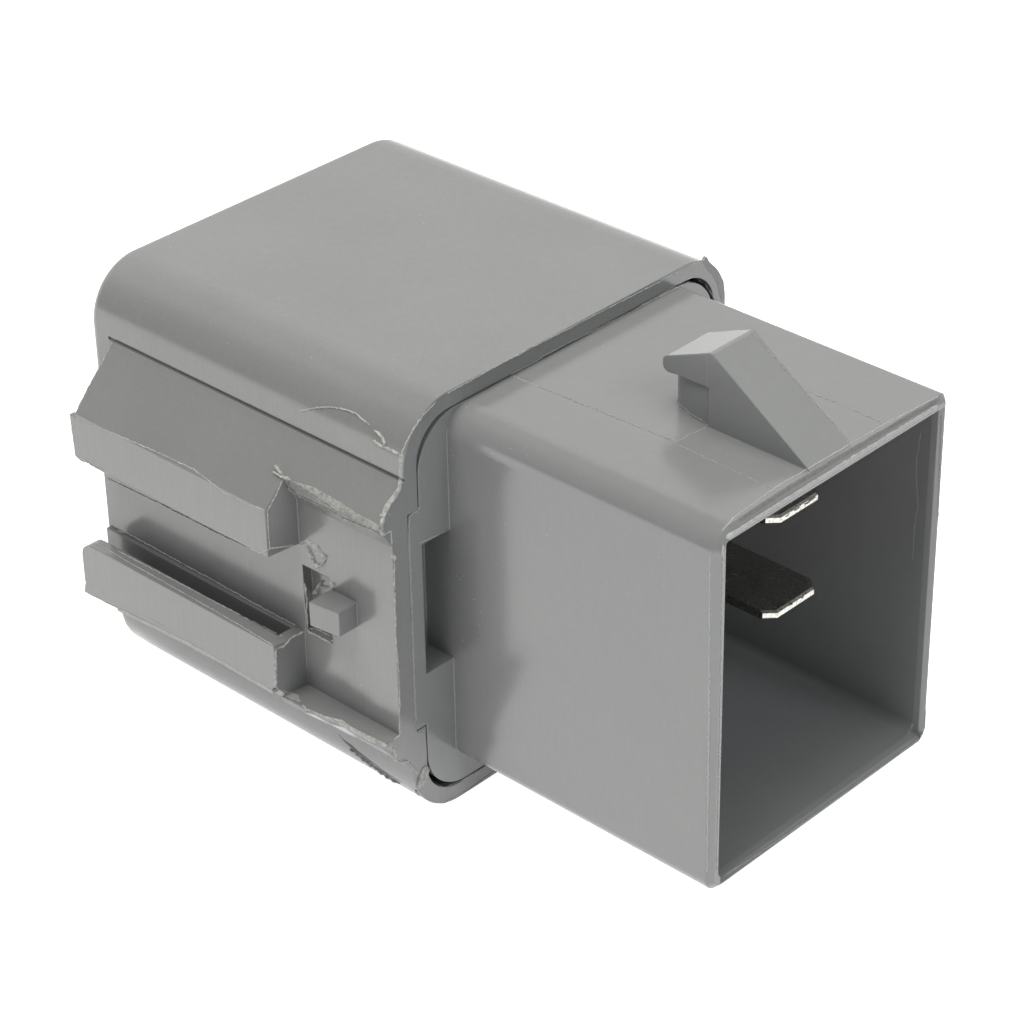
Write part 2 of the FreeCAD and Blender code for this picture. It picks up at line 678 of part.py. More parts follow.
def coil_bobbin():
    bore_radius = CORE_RADIUS + CORE_CLEARANCE
    tube = rod(BOBBIN_BACK, FOOT_BACK, COIL_Y, COIL_Z, bore_radius + BOBBIN_WALL)
    back = rod(BOBBIN_BACK, WINDING_BACK, COIL_Y, COIL_Z, BOBBIN_RADIUS)
    front = rod(WINDING_FRONT, FOOT_BACK, COIL_Y, COIL_Z, BOBBIN_RADIUS)
    return tube.fuse([back, front]).cut(rod(BOBBIN_BACK, FOOT_BACK, COIL_Y, COIL_Z, bore_radius))


def coil_winding():
    inner = CORE_RADIUS + CORE_CLEARANCE + BOBBIN_WALL
    ring = rod(WINDING_BACK, WINDING_FRONT, COIL_Y, COIL_Z, WINDING_RADIUS)
    return ring.cut(rod(WINDING_BACK, WINDING_FRONT, COIL_Y, COIL_Z, inner))


def winding_tape():
    ring = rod(WINDING_BACK, WINDING_FRONT, COIL_Y, COIL_Z, WINDING_RADIUS + TAPE_THICK)
    return ring.cut(rod(WINDING_BACK, WINDING_FRONT, COIL_Y, COIL_Z, WINDING_RADIUS))


def coil_lead(post_z, lean):
    """Straight wire from the wrapped winding to the flat of one coil post."""
    x = WINDING_FRONT - LEAD_BEHIND_FLANGE
    post_y = COIL_BLADE_Y + BLADE_THICK / 2
    start = Vector(x, post_y - OVERLAP, post_z)
    end = Vector(x, COIL_Y - WINDING_RADIUS / 2, post_z + lean)
    path = end - start
    wire = Part.makeCylinder(LEAD_RADIUS, path.Length, start, path)
    post = box(
        x - COIL_POST_WIDTH,
        x + COIL_POST_WIDTH,
        post_y - 2 * OVERLAP,
        post_y,
        post_z - COIL_POST_WIDTH,
        post_z + COIL_POST_WIDTH,
    )
    return wire.cut([rod(WINDING_BACK, WINDING_FRONT, COIL_Y, COIL_Z, WINDING_RADIUS + TAPE_THICK), post])


def suppression_resistor():
    y = COIL_BLADE_Y - BLADE_THICK / 2 - RESISTOR_LEAD_RADIUS
    x = -RESISTOR_BACK
    middle = (COIL_A_Z + COIL_B_Z) / 2
    bottom = COIL_A_Z - COIL_POST_WIDTH / 2
    top = COIL_B_Z + COIL_POST_WIDTH / 2
    lead = Part.makeCylinder(RESISTOR_LEAD_RADIUS, top - bottom, Vector(x, y, bottom))
    body = Part.makeCylinder(RESISTOR_RADIUS, RESISTOR_LENGTH, Vector(x, y, middle - RESISTOR_LENGTH / 2))
    body = body.makeChamfer(RESISTOR_END_BEVEL, [edge for edge in body.Edges if edge.Closed])
    return body.fuse(lead)


def rivet_places():
    return [(RIVET_Y, COIL_Z), (RIVET_Y - RIVET_SPACING, COIL_Z)]


def armature_plate():
    half = YOKE_HALF_WIDTH
    narrow = half - PRONG_WIDTH - PRONG_CLEARANCE
    near = COIL_Y - ARMATURE_REACH
    shoulder = HINGE_Y - PRONG_CLEARANCE
    outline = [
        (near, COIL_Z - half),
        (shoulder, COIL_Z - half),
        (shoulder, COIL_Z - narrow),
        (TAIL_END_Y, COIL_Z - narrow),
        (TAIL_END_Y, COIL_Z + narrow),
        (shoulder, COIL_Z + narrow),
        (shoulder, COIL_Z + half),
        (near, COIL_Z + half),
    ]
    plate = prism_x(outline, ARMATURE_BACK, HINGE_X)
    holes = [rod(ARMATURE_BACK, HINGE_X, y, z, RIVET_SHANK_RADIUS) for y, z in rivet_places()]
    holes.append(rod(ARMATURE_BACK, HINGE_X, SPRING_Y, COIL_Z, SPRING_HOLE_RADIUS))
    return plate.cut(holes)


def contact_leaf():
    near = COIL_Y - ARMATURE_REACH
    tip = CONTACT_Y - LEAF_TIP_EDGE
    outline = [
        (COIL_Y + LEAF_START, COIL_Z - LEAF_HALF_WIDTH),
        (COIL_Y + LEAF_START, COIL_Z + LEAF_HALF_WIDTH),
        (near, COIL_Z + LEAF_HALF_WIDTH),
        (CONTACT_Y + LEAF_TIP_EDGE, COIL_Z + LEAF_TIP_HALF_WIDTH),
        (tip, COIL_Z + LEAF_TIP_HALF_WIDTH),
        (tip, COIL_Z - LEAF_TIP_HALF_WIDTH),
        (CONTACT_Y + LEAF_TIP_EDGE, COIL_Z - LEAF_TIP_HALF_WIDTH),
        (near, COIL_Z - LEAF_HALF_WIDTH),
    ]
    leaf = prism_x(outline, LEAF_BACK, ARMATURE_BACK)
    holes = [rod(LEAF_BACK, ARMATURE_BACK, y, z, RIVET_SHANK_RADIUS) for y, z in rivet_places()]
    holes.append(rod(LEAF_BACK, ARMATURE_BACK, CONTACT_Y, COIL_Z, CONTACT_SHANK_RADIUS))
    return leaf.cut(holes)


def leaf_rivets():
    """Two separate rivets, head on the leaf and shank through the plate."""
    rivets = []
    for y, z in rivet_places():
        head = rod(LEAF_BACK - RIVET_HEAD, LEAF_BACK, y, z, RIVET_HEAD_RADIUS)
        head = head.makeChamfer(RIVET_HEAD_BEVEL, edges_in_plane_x(head, LEAF_BACK - RIVET_HEAD))
        rivets.append(head.fuse(rod(LEAF_BACK, HINGE_X, y, z, RIVET_SHANK_RADIUS)))
    return Part.makeCompound(rivets)


def moving_contact():
    head = rod(ARMATURE_BACK, MOVING_CONTACT_X, CONTACT_Y, COIL_Z, CONTACT_RADIUS)
    shank = rod(LEAF_BACK, ARMATURE_BACK, CONTACT_Y, COIL_Z, CONTACT_SHANK_RADIUS)
    tail = rod(LEAF_BACK - CONTACT_TAIL, LEAF_BACK, CONTACT_Y, COIL_Z, CONTACT_TAIL_RADIUS)
    return head.fuse([shank, tail])


def fixed_contact():
    tab_front = TAB_BACK + BLADE_THICK
    head = rod(FIXED_CONTACT_X, TAB_BACK, CONTACT_Y, COIL_Z, CONTACT_RADIUS)
    shank = rod(TAB_BACK, tab_front, CONTACT_Y, COIL_Z, CONTACT_SHANK_RADIUS)
    tail = rod(tab_front, tab_front + CONTACT_TAIL, CONTACT_Y, COIL_Z, CONTACT_TAIL_RADIUS)
    return head.fuse([shank, tail])


def back_stop():
    near = STOP_Y - BLADE_THICK / 2
    far = STOP_Y + BLADE_THICK / 2
    back = STOP_FACE_X - BLADE_THICK
    strip = box(back, HEADER_BACK + STOP_ANCHOR, near, far, STOP_BOTTOM, STOP_BOTTOM + STOP_WIDTH)
    pad_far = CONTACT_Y + CONTACT_TAIL_RADIUS
    pad = box(back, STOP_FACE_X, near, pad_far, STOP_BOTTOM, COIL_Z + STOP_PAD_ABOVE_CONTACT)
    return strip.fuse(pad)


def return_spring():
    """Coil of fine wire on the armature's tail, with a straight leg and a button at each end."""
    lug_front = -LUG_BACK + LUG_THICK
    tail_button = ARMATURE_BACK - TAIL_TRAVEL - CONTACT_PLAY
    start_x = (-LUG_BACK + HINGE_X) / 2 - SPRING_PITCH * SPRING_TURNS / 2
    axis_points = [Vector(tail_button, SPRING_Y, COIL_Z), Vector(start_x, SPRING_Y, COIL_Z)]
    steps = round(SPRING_TURNS * SPRING_STEPS_A_TURN)
    for step in range(steps + 1):
        angle = 2 * math.pi * step / SPRING_STEPS_A_TURN
        x = start_x + SPRING_PITCH * step / SPRING_STEPS_A_TURN
        y = SPRING_Y + SPRING_RADIUS * math.sin(angle)
        axis_points.append(Vector(x, y, COIL_Z - SPRING_RADIUS * math.cos(angle)))
    axis_points.append(Vector(start_x + SPRING_PITCH * SPRING_TURNS, SPRING_Y, COIL_Z))
    axis_points.append(Vector(lug_front, SPRING_Y, COIL_Z))
    section = []
    for corner in range(7):
        angle = math.pi * corner / 3
        y = SPRING_Y + SPRING_WIRE_RADIUS * math.cos(angle)
        section.append(Vector(tail_button, y, COIL_Z + SPRING_WIRE_RADIUS * math.sin(angle)))
    sharp_corners = 1
    wire = Part.makePolygon(axis_points).makePipeShell([Part.makePolygon(section)], True, False, sharp_corners)
    wire = wire.fuse(rod(tail_button - SPRING_BUTTON, tail_button, SPRING_Y, COIL_Z, SPRING_BUTTON_RADIUS))
    return wire.fuse(rod(lug_front, lug_front + SPRING_BUTTON, SPRING_Y, COIL_Z, SPRING_BUTTON_RADIUS))


terminals = {
    "terminal_common": terminal_common(),
    "terminal_load": terminal_load(),
    "terminal_coil_a": coil_terminal(COIL_A_Z),
    "terminal_coil_b": coil_terminal(COIL_B_Z),
    "back_stop": back_stop(),
}
pieces = dict(terminals)
pieces.update(
    {
        "cover_case": cover_case(),
        "base_header": base_header(list(terminals.values())),
        "yoke_frame": yoke_frame(),
        "core_pin": core_pin(),
        "coil_bobbin": coil_bobbin(),
        "coil_winding": coil_winding(),
        "winding_tape": winding_tape(),
        "coil_lead_a": coil_lead(COIL_A_Z, 0),
        "coil_lead_b": coil_lead(COIL_B_Z, COIL_Z - COIL_B_Z),
        "suppression_resistor": suppression_resistor(),
        "armature_plate": armature_plate(),
        "contact_leaf": contact_leaf(),
        "leaf_rivets": leaf_rivets(),
        "moving_contact": moving_contact(),
        "fixed_contact": fixed_contact(),
        "return_spring": return_spring(),
    }
)

os.makedirs("parts", exist_ok=True)
for name, shape in pieces.items():
    solid = shape.removeSplitter()
    solid.translate(Vector(ORIGIN_BEHIND_RIM, 0, 0))
    solid.exportStep("parts/" + name + ".step")
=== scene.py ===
import math
import random

import bmesh
import bpy
from mathutils import Matrix, Vector, noise
from mathutils.bvhtree import BVHTree


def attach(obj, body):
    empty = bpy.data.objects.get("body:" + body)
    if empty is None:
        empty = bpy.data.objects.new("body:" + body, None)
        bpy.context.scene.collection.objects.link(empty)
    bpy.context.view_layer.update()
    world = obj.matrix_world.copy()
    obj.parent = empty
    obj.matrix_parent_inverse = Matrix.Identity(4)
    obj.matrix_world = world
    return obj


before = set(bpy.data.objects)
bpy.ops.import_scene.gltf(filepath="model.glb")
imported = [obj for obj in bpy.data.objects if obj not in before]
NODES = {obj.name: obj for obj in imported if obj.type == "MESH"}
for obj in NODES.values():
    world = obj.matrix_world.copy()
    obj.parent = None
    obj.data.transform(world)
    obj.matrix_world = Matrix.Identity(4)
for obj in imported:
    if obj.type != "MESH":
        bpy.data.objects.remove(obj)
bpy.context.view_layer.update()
MM = 0.001

# The photograph's camera, in the part's frame, with its angles in degrees.
IMAGE_SIDE = 1020
CAMERA_PLACE = Vector((171.22, -167.51, 162.784)) * MM
CAMERA_AZIMUTH = 46.29
CAMERA_ELEVATION = 31.737
CAMERA_ROLL = -1.05
LENS = 111.41
SENSOR = 36.0
FOCAL = LENS / SENSOR * IMAGE_SIDE

# Light, backdrop and floor, in metres.
AMBIENT = 0.15
ROOM_COLOUR = (0.88, 0.94, 1, 1)
WHITE = (1, 1, 1, 1)
BACKDROP_DIRECTION = (-0.69, 0.72, 0)
BACKDROP_SIDE = (0.1, 0.35)
BACKDROP_HEIGHT = (0.7, 0.85)
FLOOR_HALF_SIDE = 3.0
PAPER_COLOUR = (0.9, 0.9, 0.9, 1)
PAPER_ROUGHNESS = 0.9
FLOOR_LIFT = 1.0
LAMP_TARGET = Vector((0, 0, 0))
LAMPS = {
    "overhead": {"place": (0, 0, 0.9), "size": 0.7, "power": 2.3, "colour": (1, 0.975, 0.78)},
    "key": {"place": (-0.05, -0.35, 0.85), "size": 0.45, "power": 3.5, "colour": (1, 0.988, 0.98)},
    "side": {"place": (0.65, 0, 0.65), "size": 0.5, "power": 1.7, "colour": (0.92, 0.965, 1)},
}

# What the materials share, with sizes in mm. Most values of a noise lie in its range.
NOISE_RANGE = (0.3, 0.7)
DUST_SPACING = 1.7
# The next two set the shade painted into hollows: how far the occlusion looks, and the shade's colour.
HOLLOW_REACH = 7
HOLLOW_SHADE_COLOUR = (0.05, 0.05, 0.052, 1)
MARK_COLOUR = (0.15, 0.15, 0.15, 1)
# The edges' rounding, which also sets the width of the highlight painted along them.
WORN_EDGE_RADIUS = 0.16

# A Wave texture turns by this many radians in one unit of its scale.
WAVE_TEXTURE_RATE = 20

# Sockets of a Mix node that mixes colours.
MIX_FACTOR, MIX_FIRST, MIX_SECOND, MIX_RESULT = 0, 6, 7, 2

# How pieces are laid on the solids, in mm, and in pixels for steps and wander.
RIM_X = 18.0
SUNK = 0.03
PATH_STEP = 2.0
PATH_WANDER = 0.35
GAP_IN_PATH = 1.2
CLOSEST_PLACES = 0.02
PLATE_STEP = 3.0
PLATE_WANDER = 0.3
FIN_STEP = 4.0
FIN_WANDER = 0.25
FILM_WANDER = 0.4
FILM_GRAIN = 0.35
CRACK_HEIGHT = 0.012
TARNISH_WIDTH = 0.26
TARNISH_HEIGHT = 0.01

# A pixel that misses the solids takes their nearest place to its ray. The search starts
# this far along the ray, in metres, and goes on for this many rounds.
NEAREST_SIGHT = 0.27
NEAREST_ROUNDS = 4

# Shares that shape a ridge: its narrow ends, its shoulders and how far each part varies.
# CALM is how ragged the painted highlight and shade lines round the mouth are, where torn ones have 1.
RIDGE_END = 0.35
RIDGE_END_GROWTH = 0.65
SHOULDER_OUT = 0.6
SHOULDERS_UP = (0.75, 0.7)
WIDTH_SPREAD = (-0.25, 0.2)
HEIGHT_SPREAD = (-0.45, 0.25)
LEAN_SPREAD = (-0.3, 0.3)
CALM = 0.3

# Shares that shape the other pieces.
FILM_LOWEST = 0.25
FILM_SPREAD = (0.5, 1.3)
PLATE_INNER_RING = 0.6
PLATE_OUTER_SPREAD = (0.4, 1.0)
PLATE_INNER_SPREAD = (0.9, 1.4)
CRACK_WOBBLE = (-0.3, 0.3)
SPECK_TURN = (-0.3, 0.3)
SPECK_REACH = (0.7, 1.3)
SPECK_TOP = 0.7

COVER_SLOT = "cover_plastic"
HEADER_SLOT = "header_plastic"


# Materials


def shader_node(tree, kind, values=None, **settings):
    made = tree.nodes.new(kind)
    for key, value in settings.items():
        setattr(made, key, value)
    for key, value in (values or {}).items():
        made.inputs[key].default_value = value
    return made


def new_material(name, values):
    """A Principled material and the object coordinates that its textures use."""
    material = bpy.data.materials.new(name)
    material.use_nodes = True
    tree = material.node_tree
    shader = tree.nodes["Principled BSDF"]
    for key, value in values.items():
        shader.inputs[key].default_value = value
    place = tree.nodes.new("ShaderNodeTexCoord").outputs["Object"]
    return material, tree, shader, place


def joined(tree, operation, first, second):
    made = shader_node(tree, "ShaderNodeMath", operation=operation)
    tree.links.new(first, made.inputs[0])
    tree.links.new(second, made.inputs[1])
    return made.outputs["Value"]


def larger_of(tree, first, second):
    return joined(tree, "MAXIMUM", first, second)


def product_of(tree, first, second):
    return joined(tree, "MULTIPLY", first, second)


def spread(tree, value, seen, given):
    """The value carried evenly from the range seen to the range given, and held at its ends."""
    ends = {"From Min": seen[0], "From Max": seen[1], "To Min": given[0], "To Max": given[1]}
    made = shader_node(tree, "ShaderNodeMapRange", ends)
    tree.links.new(value, made.inputs["Value"])
    return made.outputs["Result"]


def noise_value(tree, place, size_mm, detail=2.0, roughness=0.5):
    values = {"Scale": 1 / (size_mm * MM), "Detail": detail, "Roughness": roughness}
    texture = shader_node(tree, "ShaderNodeTexNoise", values)
    tree.links.new(place, texture.inputs["Vector"])
    return texture.outputs["Fac"]


def stretched(tree, place, scale):
    """Texture coordinates scaled along each axis. A small scale draws marks out along it."""
    made = shader_node(tree, "ShaderNodeMapping", {"Scale": scale})
    tree.links.new(place, made.inputs["Vector"])
    return made.outputs["Vector"]


def two_tone(tree, value, dark, light, seen=NOISE_RANGE):
    made = tree.nodes.new("ShaderNodeValToRGB")
    for element, position, colour in zip(made.color_ramp.elements, seen, (dark, light)):
        element.position = position
        element.color = (*colour, 1)
    tree.links.new(value, made.inputs["Fac"])
    return made.outputs["Color"]


def mix_colour(tree, factor, first, second):
    made = shader_node(tree, "ShaderNodeMix", data_type="RGBA")
    for socket, source in ((MIX_FACTOR, factor), (MIX_FIRST, first), (MIX_SECOND, second)):
        if isinstance(source, bpy.types.NodeSocket):
            tree.links.new(source, made.inputs[socket])
        else:
            made.inputs[socket].default_value = source
    return made.outputs[MIX_RESULT]


def bump(tree, shader, height, strength, depth_mm, before=None):
    made = shader_node(tree, "ShaderNodeBump", {"Strength": strength, "Distance": depth_mm * MM})
    tree.links.new(height, made.inputs["Height"])
    if before is not None:
        tree.links.new(before, made.inputs["Normal"])
    tree.links.new(made.outputs["Normal"], shader.inputs["Normal"])
    return made.outputs["Normal"]


def dust_mask(tree, place):
    """1 on one small round speck in about every fifth cell of the skin."""
    values = {"Scale": 1 / (DUST_SPACING * MM), "Randomness": 1.0}
    cells = shader_node(tree, "ShaderNodeTexVoronoi", values)
    tree.links.new(place, cells.inputs["Vector"])
    chance = tree.nodes.new("ShaderNodeSeparateColor")
    tree.links.new(cells.outputs["Color"], chance.inputs["Color"])
    near = spread(tree, cells.outputs["Distance"], seen=(0.03, 0.055), given=(1, 0))
    chosen = spread(tree, chance.outputs["Red"], seen=(0.8, 0.82), given=(0, 1))
    return product_of(tree, near, chosen)


def hollow_shade_mask(tree, share):
    """Painted shade: rises to the share in hollows that little light reaches."""
    reach = {"Distance": HOLLOW_REACH * MM}
    open_sky = shader_node(tree, "ShaderNodeAmbientOcclusion", reach, samples=8, only_local=True)
    return spread(tree, open_sky.outputs["AO"], seen=(0.3, 0.8), given=(share, 0))


def drawn_mask(tree, place, share):
    """Rises to the share in fine marks drawn out along the part's height."""
    upright = stretched(tree, place, (1, 1, 0.07))
    grain = noise_value(tree, upright, size_mm=0.24, detail=4, roughness=0.7)
    return spread(tree, grain, seen=NOISE_RANGE, given=(0, share))


def edge_highlight_mask(tree, rounded):
    """Painted highlight: a small share near sharp edges, where the rounded normal leaves the true one.
    """
    facing = shader_node(tree, "ShaderNodeVectorMath", operation="DOT_PRODUCT")
    tree.links.new(rounded, facing.inputs[0])
    tree.links.new(tree.nodes.new("ShaderNodeNewGeometry").outputs["Normal"], facing.inputs[1])
    return spread(tree, facing.outputs["Value"], seen=(0.8, 0.98), given=(0.35, 0))


def satin_plastic(name, dark, light, pale_and_edge_highlight, roughness, spark_strength, hollow_shade=0.3, drawn_share=0.14):
    """Spark-eroded moulding: cloudy and dusty, with shade painted in its hollows and a highlight painted
    at its edges.
    """
    material, tree, shader, place = new_material(name, {"IOR": 1.5, "Specular IOR Level": 0.85})
    pale = (*pale_and_edge_highlight, 1)
    clouds = noise_value(tree, place, size_mm=14, detail=3)
    mottle = noise_value(tree, place, size_mm=0.9, detail=4, roughness=0.6)
    mottle_mask = spread(tree, mottle, seen=(0.45, 0.8), given=(0, 0.08))
    rounding = {"Radius": WORN_EDGE_RADIUS * MM}
    rounded = shader_node(tree, "ShaderNodeBevel", rounding, samples=6).outputs["Normal"]
    colour = two_tone(tree, clouds, dark, light)
    colour = mix_colour(tree, mottle_mask, colour, pale)
    colour = mix_colour(tree, dust_mask(tree, place), colour, pale)
    # Shade painted into the hollows.
    colour = mix_colour(tree, hollow_shade_mask(tree, hollow_shade), colour, HOLLOW_SHADE_COLOUR)
    colour = mix_colour(tree, drawn_mask(tree, place, drawn_share), colour, MARK_COLOUR)
    # A highlight painted along the sharp edges.
    colour = mix_colour(tree, edge_highlight_mask(tree, rounded), colour, pale)
    tree.links.new(colour, shader.inputs["Base Color"])
    shader.inputs["Roughness"].default_value = roughness
    waves = noise_value(tree, place, size_mm=5, detail=2)
    sparks = noise_value(tree, place, size_mm=0.16, detail=3, roughness=0.6)
    wavy = bump(tree, shader, waves, strength=0.25, depth_mm=0.05, before=rounded)
    bump(tree, shader, sparks, strength=spark_strength, depth_mm=0.012, before=wavy)
    return material


def grained(name, values, dark, light, grain, tones, roughness, relief):
    """A finish whose colour, gloss and relief all follow one noise."""
    material, tree, shader, place = new_material(name, values)
    grains = noise_value(tree, place, **grain)
    tree.links.new(two_tone(tree, grains, dark, light, tones), shader.inputs["Base Color"])
    gloss = spread(tree, grains, seen=NOISE_RANGE, given=roughness)
    tree.links.new(gloss, shader.inputs["Roughness"])
    bump(tree, shader, grains, **relief)
    return material


def torn_plastic(name, dark, light):
    """Rough plastic where the moulding has torn, flashed or worn, in the tones given."""
    return grained(
        name,
        {"IOR": 1.5, "Specular IOR Level": 0.5},
        dark,
        light,
        grain={"size_mm": 0.35, "detail": 5, "roughness": 0.7},
        tones=(0.35, 0.6),
        roughness=(0.45, 0.7),
        relief={"strength": 0.6, "depth_mm": 0.06},
    )


def wrapped_tape(name, dark, light):
    """Glossy tape with fine creases."""
    return grained(
        name,
        {"Coat Weight": 0.3},
        dark,
        light,
        grain={"size_mm": 1.6, "detail": 4, "roughness": 0.6},
        tones=NOISE_RANGE,
        roughness=(0.28, 0.45),
        relief={"strength": 0.3, "depth_mm": 0.05},
    )


def fired_body(name, dark, light):
    """The glazed body of a resistor."""
    return grained(
        name,
        {"Coat Weight": 0.4, "Coat Roughness": 0.2},
        dark,
        light,
        grain={"size_mm": 0.6, "detail": 4},
        tones=NOISE_RANGE,
        roughness=(0.3, 0.42),
        relief={"strength": 0.25, "depth_mm": 0.03},
    )


def stamped_metal(name, colour, stain, roughness, brush_mm=0.12, brush_along=(0.03, 1, 1), stain_mm=2.5):
    """Stamped or drawn metal with fine marks along one way, and stains."""
    material, tree, shader, place = new_material(name, {"Metallic": 1.0})
    brushed_way = stretched(tree, place, brush_along)
    brushed = noise_value(tree, brushed_way, brush_mm, detail=4, roughness=0.65)
    stains = noise_value(tree, place, stain_mm, detail=3)
    stain_mask = spread(tree, stains, seen=(0.45, 0.75), given=(0, 0.8))
    tone = mix_colour(tree, stain_mask, (*colour, 1), (*stain, 1))
    tree.links.new(tone, shader.inputs["Base Color"])
    gloss = spread(tree, brushed, seen=NOISE_RANGE, given=(roughness - 0.06, roughness + 0.1))
    tree.links.new(gloss, shader.inputs["Roughness"])
    bump(tree, shader, brushed, strength=0.12, depth_mm=0.01)
    return material


def wound_wire(name, dark, light, pitch_mm):
    """Enamelled wire laid turn by turn along the coil's axis."""
    gloss = {"Metallic": 0.6, "Coat Weight": 0.5, "Roughness": 0.32}
    material, tree, shader, place = new_material(name, gloss)
    scale = math.tau / (WAVE_TEXTURE_RATE * pitch_mm * MM)
    values = {"Scale": scale, "Distortion": 0.4, "Detail": 2.0}
    turns = shader_node(tree, "ShaderNodeTexWave", values, bands_direction="X")
    tree.links.new(place, turns.inputs["Vector"])
    height = turns.outputs["Fac"]
    tree.links.new(two_tone(tree, height, dark, light, (0.1, 0.6)), shader.inputs["Base Color"])
    bump(tree, shader, height, strength=0.8, depth_mm=0.05)
    return material


# These plastics get shade painted into their hollows and a highlight painted along their edges.
COVER = satin_plastic(
    "cover plastic",
    dark=(0.298, 0.299, 0.3),
    light=(0.326, 0.326, 0.326),
    pale_and_edge_highlight=(0.48, 0.48, 0.475),
    roughness=0.2,
    spark_strength=0.18,
    hollow_shade=0.38,
)
HEADER = satin_plastic(
    "header plastic",
    dark=(0.3, 0.304, 0.307),
    light=(0.322, 0.326, 0.328),
    pale_and_edge_highlight=(0.48, 0.48, 0.475),
    roughness=0.2,
    spark_strength=0.22,
    hollow_shade=0.22,
    drawn_share=0.06,
)
BOBBIN = satin_plastic(
    "bobbin plastic",
    dark=(0.02, 0.02, 0.022),
    light=(0.035, 0.035, 0.038),
    pale_and_edge_highlight=(0.1, 0.1, 0.1),
    roughness=0.4,
    spark_strength=0.4,
)
TORN = torn_plastic("torn plastic", (0.34, 0.34, 0.33), (0.66, 0.66, 0.63))
# Lit and shaded copies of the plastic, for painted highlights and painted shade on the lips.
LIP_HIGHLIGHT = torn_plastic("lip highlight", (0.5, 0.5, 0.495), (0.64, 0.64, 0.63))
SHADED_LIP = torn_plastic("shaded moulded lip", (0.2, 0.2, 0.202), (0.27, 0.27, 0.27))
PALE_EDGE = torn_plastic("pale moulded edge", (0.33, 0.33, 0.32), (0.44, 0.44, 0.43))
SCUFFED = torn_plastic("scuffed plastic", (0.25, 0.25, 0.245), (0.47, 0.47, 0.45))
TARNISH = torn_plastic("tarnish", (0.05, 0.045, 0.04), (0.14, 0.12, 0.1))
# A dark strip for the crack: painted shade.
CRACK_SHADOW = torn_plastic("crack shadow", (0.06, 0.06, 0.06), (0.14, 0.14, 0.14))
WIRE = wound_wire("enamelled wire", (0.16, 0.035, 0.01), (0.62, 0.2, 0.07), pitch_mm=0.12)
TAPE = wrapped_tape("yellow tape", (0.62, 0.42, 0.05), (0.78, 0.58, 0.1))
GLAZED = fired_body("resistor body", (0.1, 0.28, 0.4), (0.16, 0.38, 0.5))
TINNED = stamped_metal(
    "tinned brass",
    colour=(0.62, 0.6, 0.56),
    stain=(0.2, 0.2, 0.19),
    roughness=0.2,
    brush_mm=0.35,
    brush_along=(0.2, 1, 1),
    stain_mm=0.2,
)
STEEL = stamped_metal("plated steel", (0.62, 0.6, 0.52), (0.45, 0.4, 0.25), roughness=0.3)
BRONZE = stamped_metal("bronze", (0.72, 0.5, 0.27), (0.5, 0.32, 0.16), roughness=0.28)
SILVER = stamped_metal("silver", (0.9, 0.89, 0.86), (0.6, 0.57, 0.5), roughness=0.2)
SPRING = stamped_metal("spring steel", (0.55, 0.55, 0.56), (0.35, 0.34, 0.33), roughness=0.25)
COPPER = stamped_metal("enamelled wire end", (0.7, 0.26, 0.1), (0.4, 0.12, 0.05), roughness=0.25)

FINISHES = {
    "cover_case": COVER,
    "base_header": HEADER,
    "coil_bobbin": BOBBIN,
    "coil_winding": WIRE,
    "winding_tape": TAPE,
    "suppression_resistor": GLAZED,
    "terminal_common": TINNED,
    "terminal_load": TINNED,
    "terminal_coil_a": TINNED,
    "terminal_coil_b": TINNED,
    "yoke_frame": STEEL,
    "core_pin": STEEL,
    "armature_plate": STEEL,
    "leaf_rivets": STEEL,
    "back_stop": STEEL,
    "moving_contact": SILVER,
    "fixed_contact": SILVER,
    "coil_lead_a": COPPER,
    "coil_lead_b": COPPER,
    "contact_leaf": BRONZE,
    "return_spring": SPRING,
}
for node_name, finish in FINISHES.items():
    mesh = NODES[node_name].data
    mesh.materials.clear()
    mesh.materials.append(finish)


# Camera, light and floor


def camera_axes():
    """The camera's right, down and back, with its roll."""
    angles = (CAMERA_AZIMUTH, CAMERA_ELEVATION, CAMERA_ROLL)
    azimuth, elevation, roll = (math.radians(angle) for angle in angles)
    out = math.cos(elevation)
    back = Vector((math.cos(azimuth) * out, -math.sin(azimuth) * out, math.sin(elevation)))
    level = (-back).cross(Vector((0, 0, 1))).normalized()
    down = (-back).cross(level)
    right = level * math.cos(roll) - down * math.sin(roll)
    down = level * math.sin(roll) + down * math.cos(roll)
    return right, down, back


CAMERA_RIGHT, CAMERA_DOWN, CAMERA_BACK = camera_axes()


def make_camera():
    data = bpy.data.cameras.new("camera")
    data.lens = LENS
    data.sensor_width = SENSOR
    camera = bpy.data.objects.new("camera", data)
    turn = Matrix((CAMERA_RIGHT, -CAMERA_DOWN, CAMERA_BACK)).transposed()
    camera.matrix_world = Matrix.Translation(CAMERA_PLACE) @ turn.to_4x4()
    bpy.context.scene.collection.objects.link(camera)
    bpy.context.scene.camera = camera


def soft_lamp(name, place, size, power, colour):
    """A round lamp that faces the object and isn't seen in its gloss."""
    data = bpy.data.lights.new(name, "AREA")
    data.shape = "DISK"
    data.size = size
    data.energy = power
    data.color = colour
    lamp = bpy.data.objects.new(name, data)
    lamp.location = place
    lamp.rotation_euler = (LAMP_TARGET - Vector(place)).to_track_quat("-Z", "Y").to_euler()
    lamp.visible_glossy = False
    bpy.context.scene.collection.objects.link(lamp)


def background_rays(tree):
    """Two values: 1 for camera rays, and 1 for glossy or transmitted ones."""
    path = tree.nodes.new("ShaderNodeLightPath")
    mirrored = larger_of(tree, path.outputs["Is Glossy Ray"], path.outputs["Is Transmission Ray"])
    return path.outputs["Is Camera Ray"], mirrored


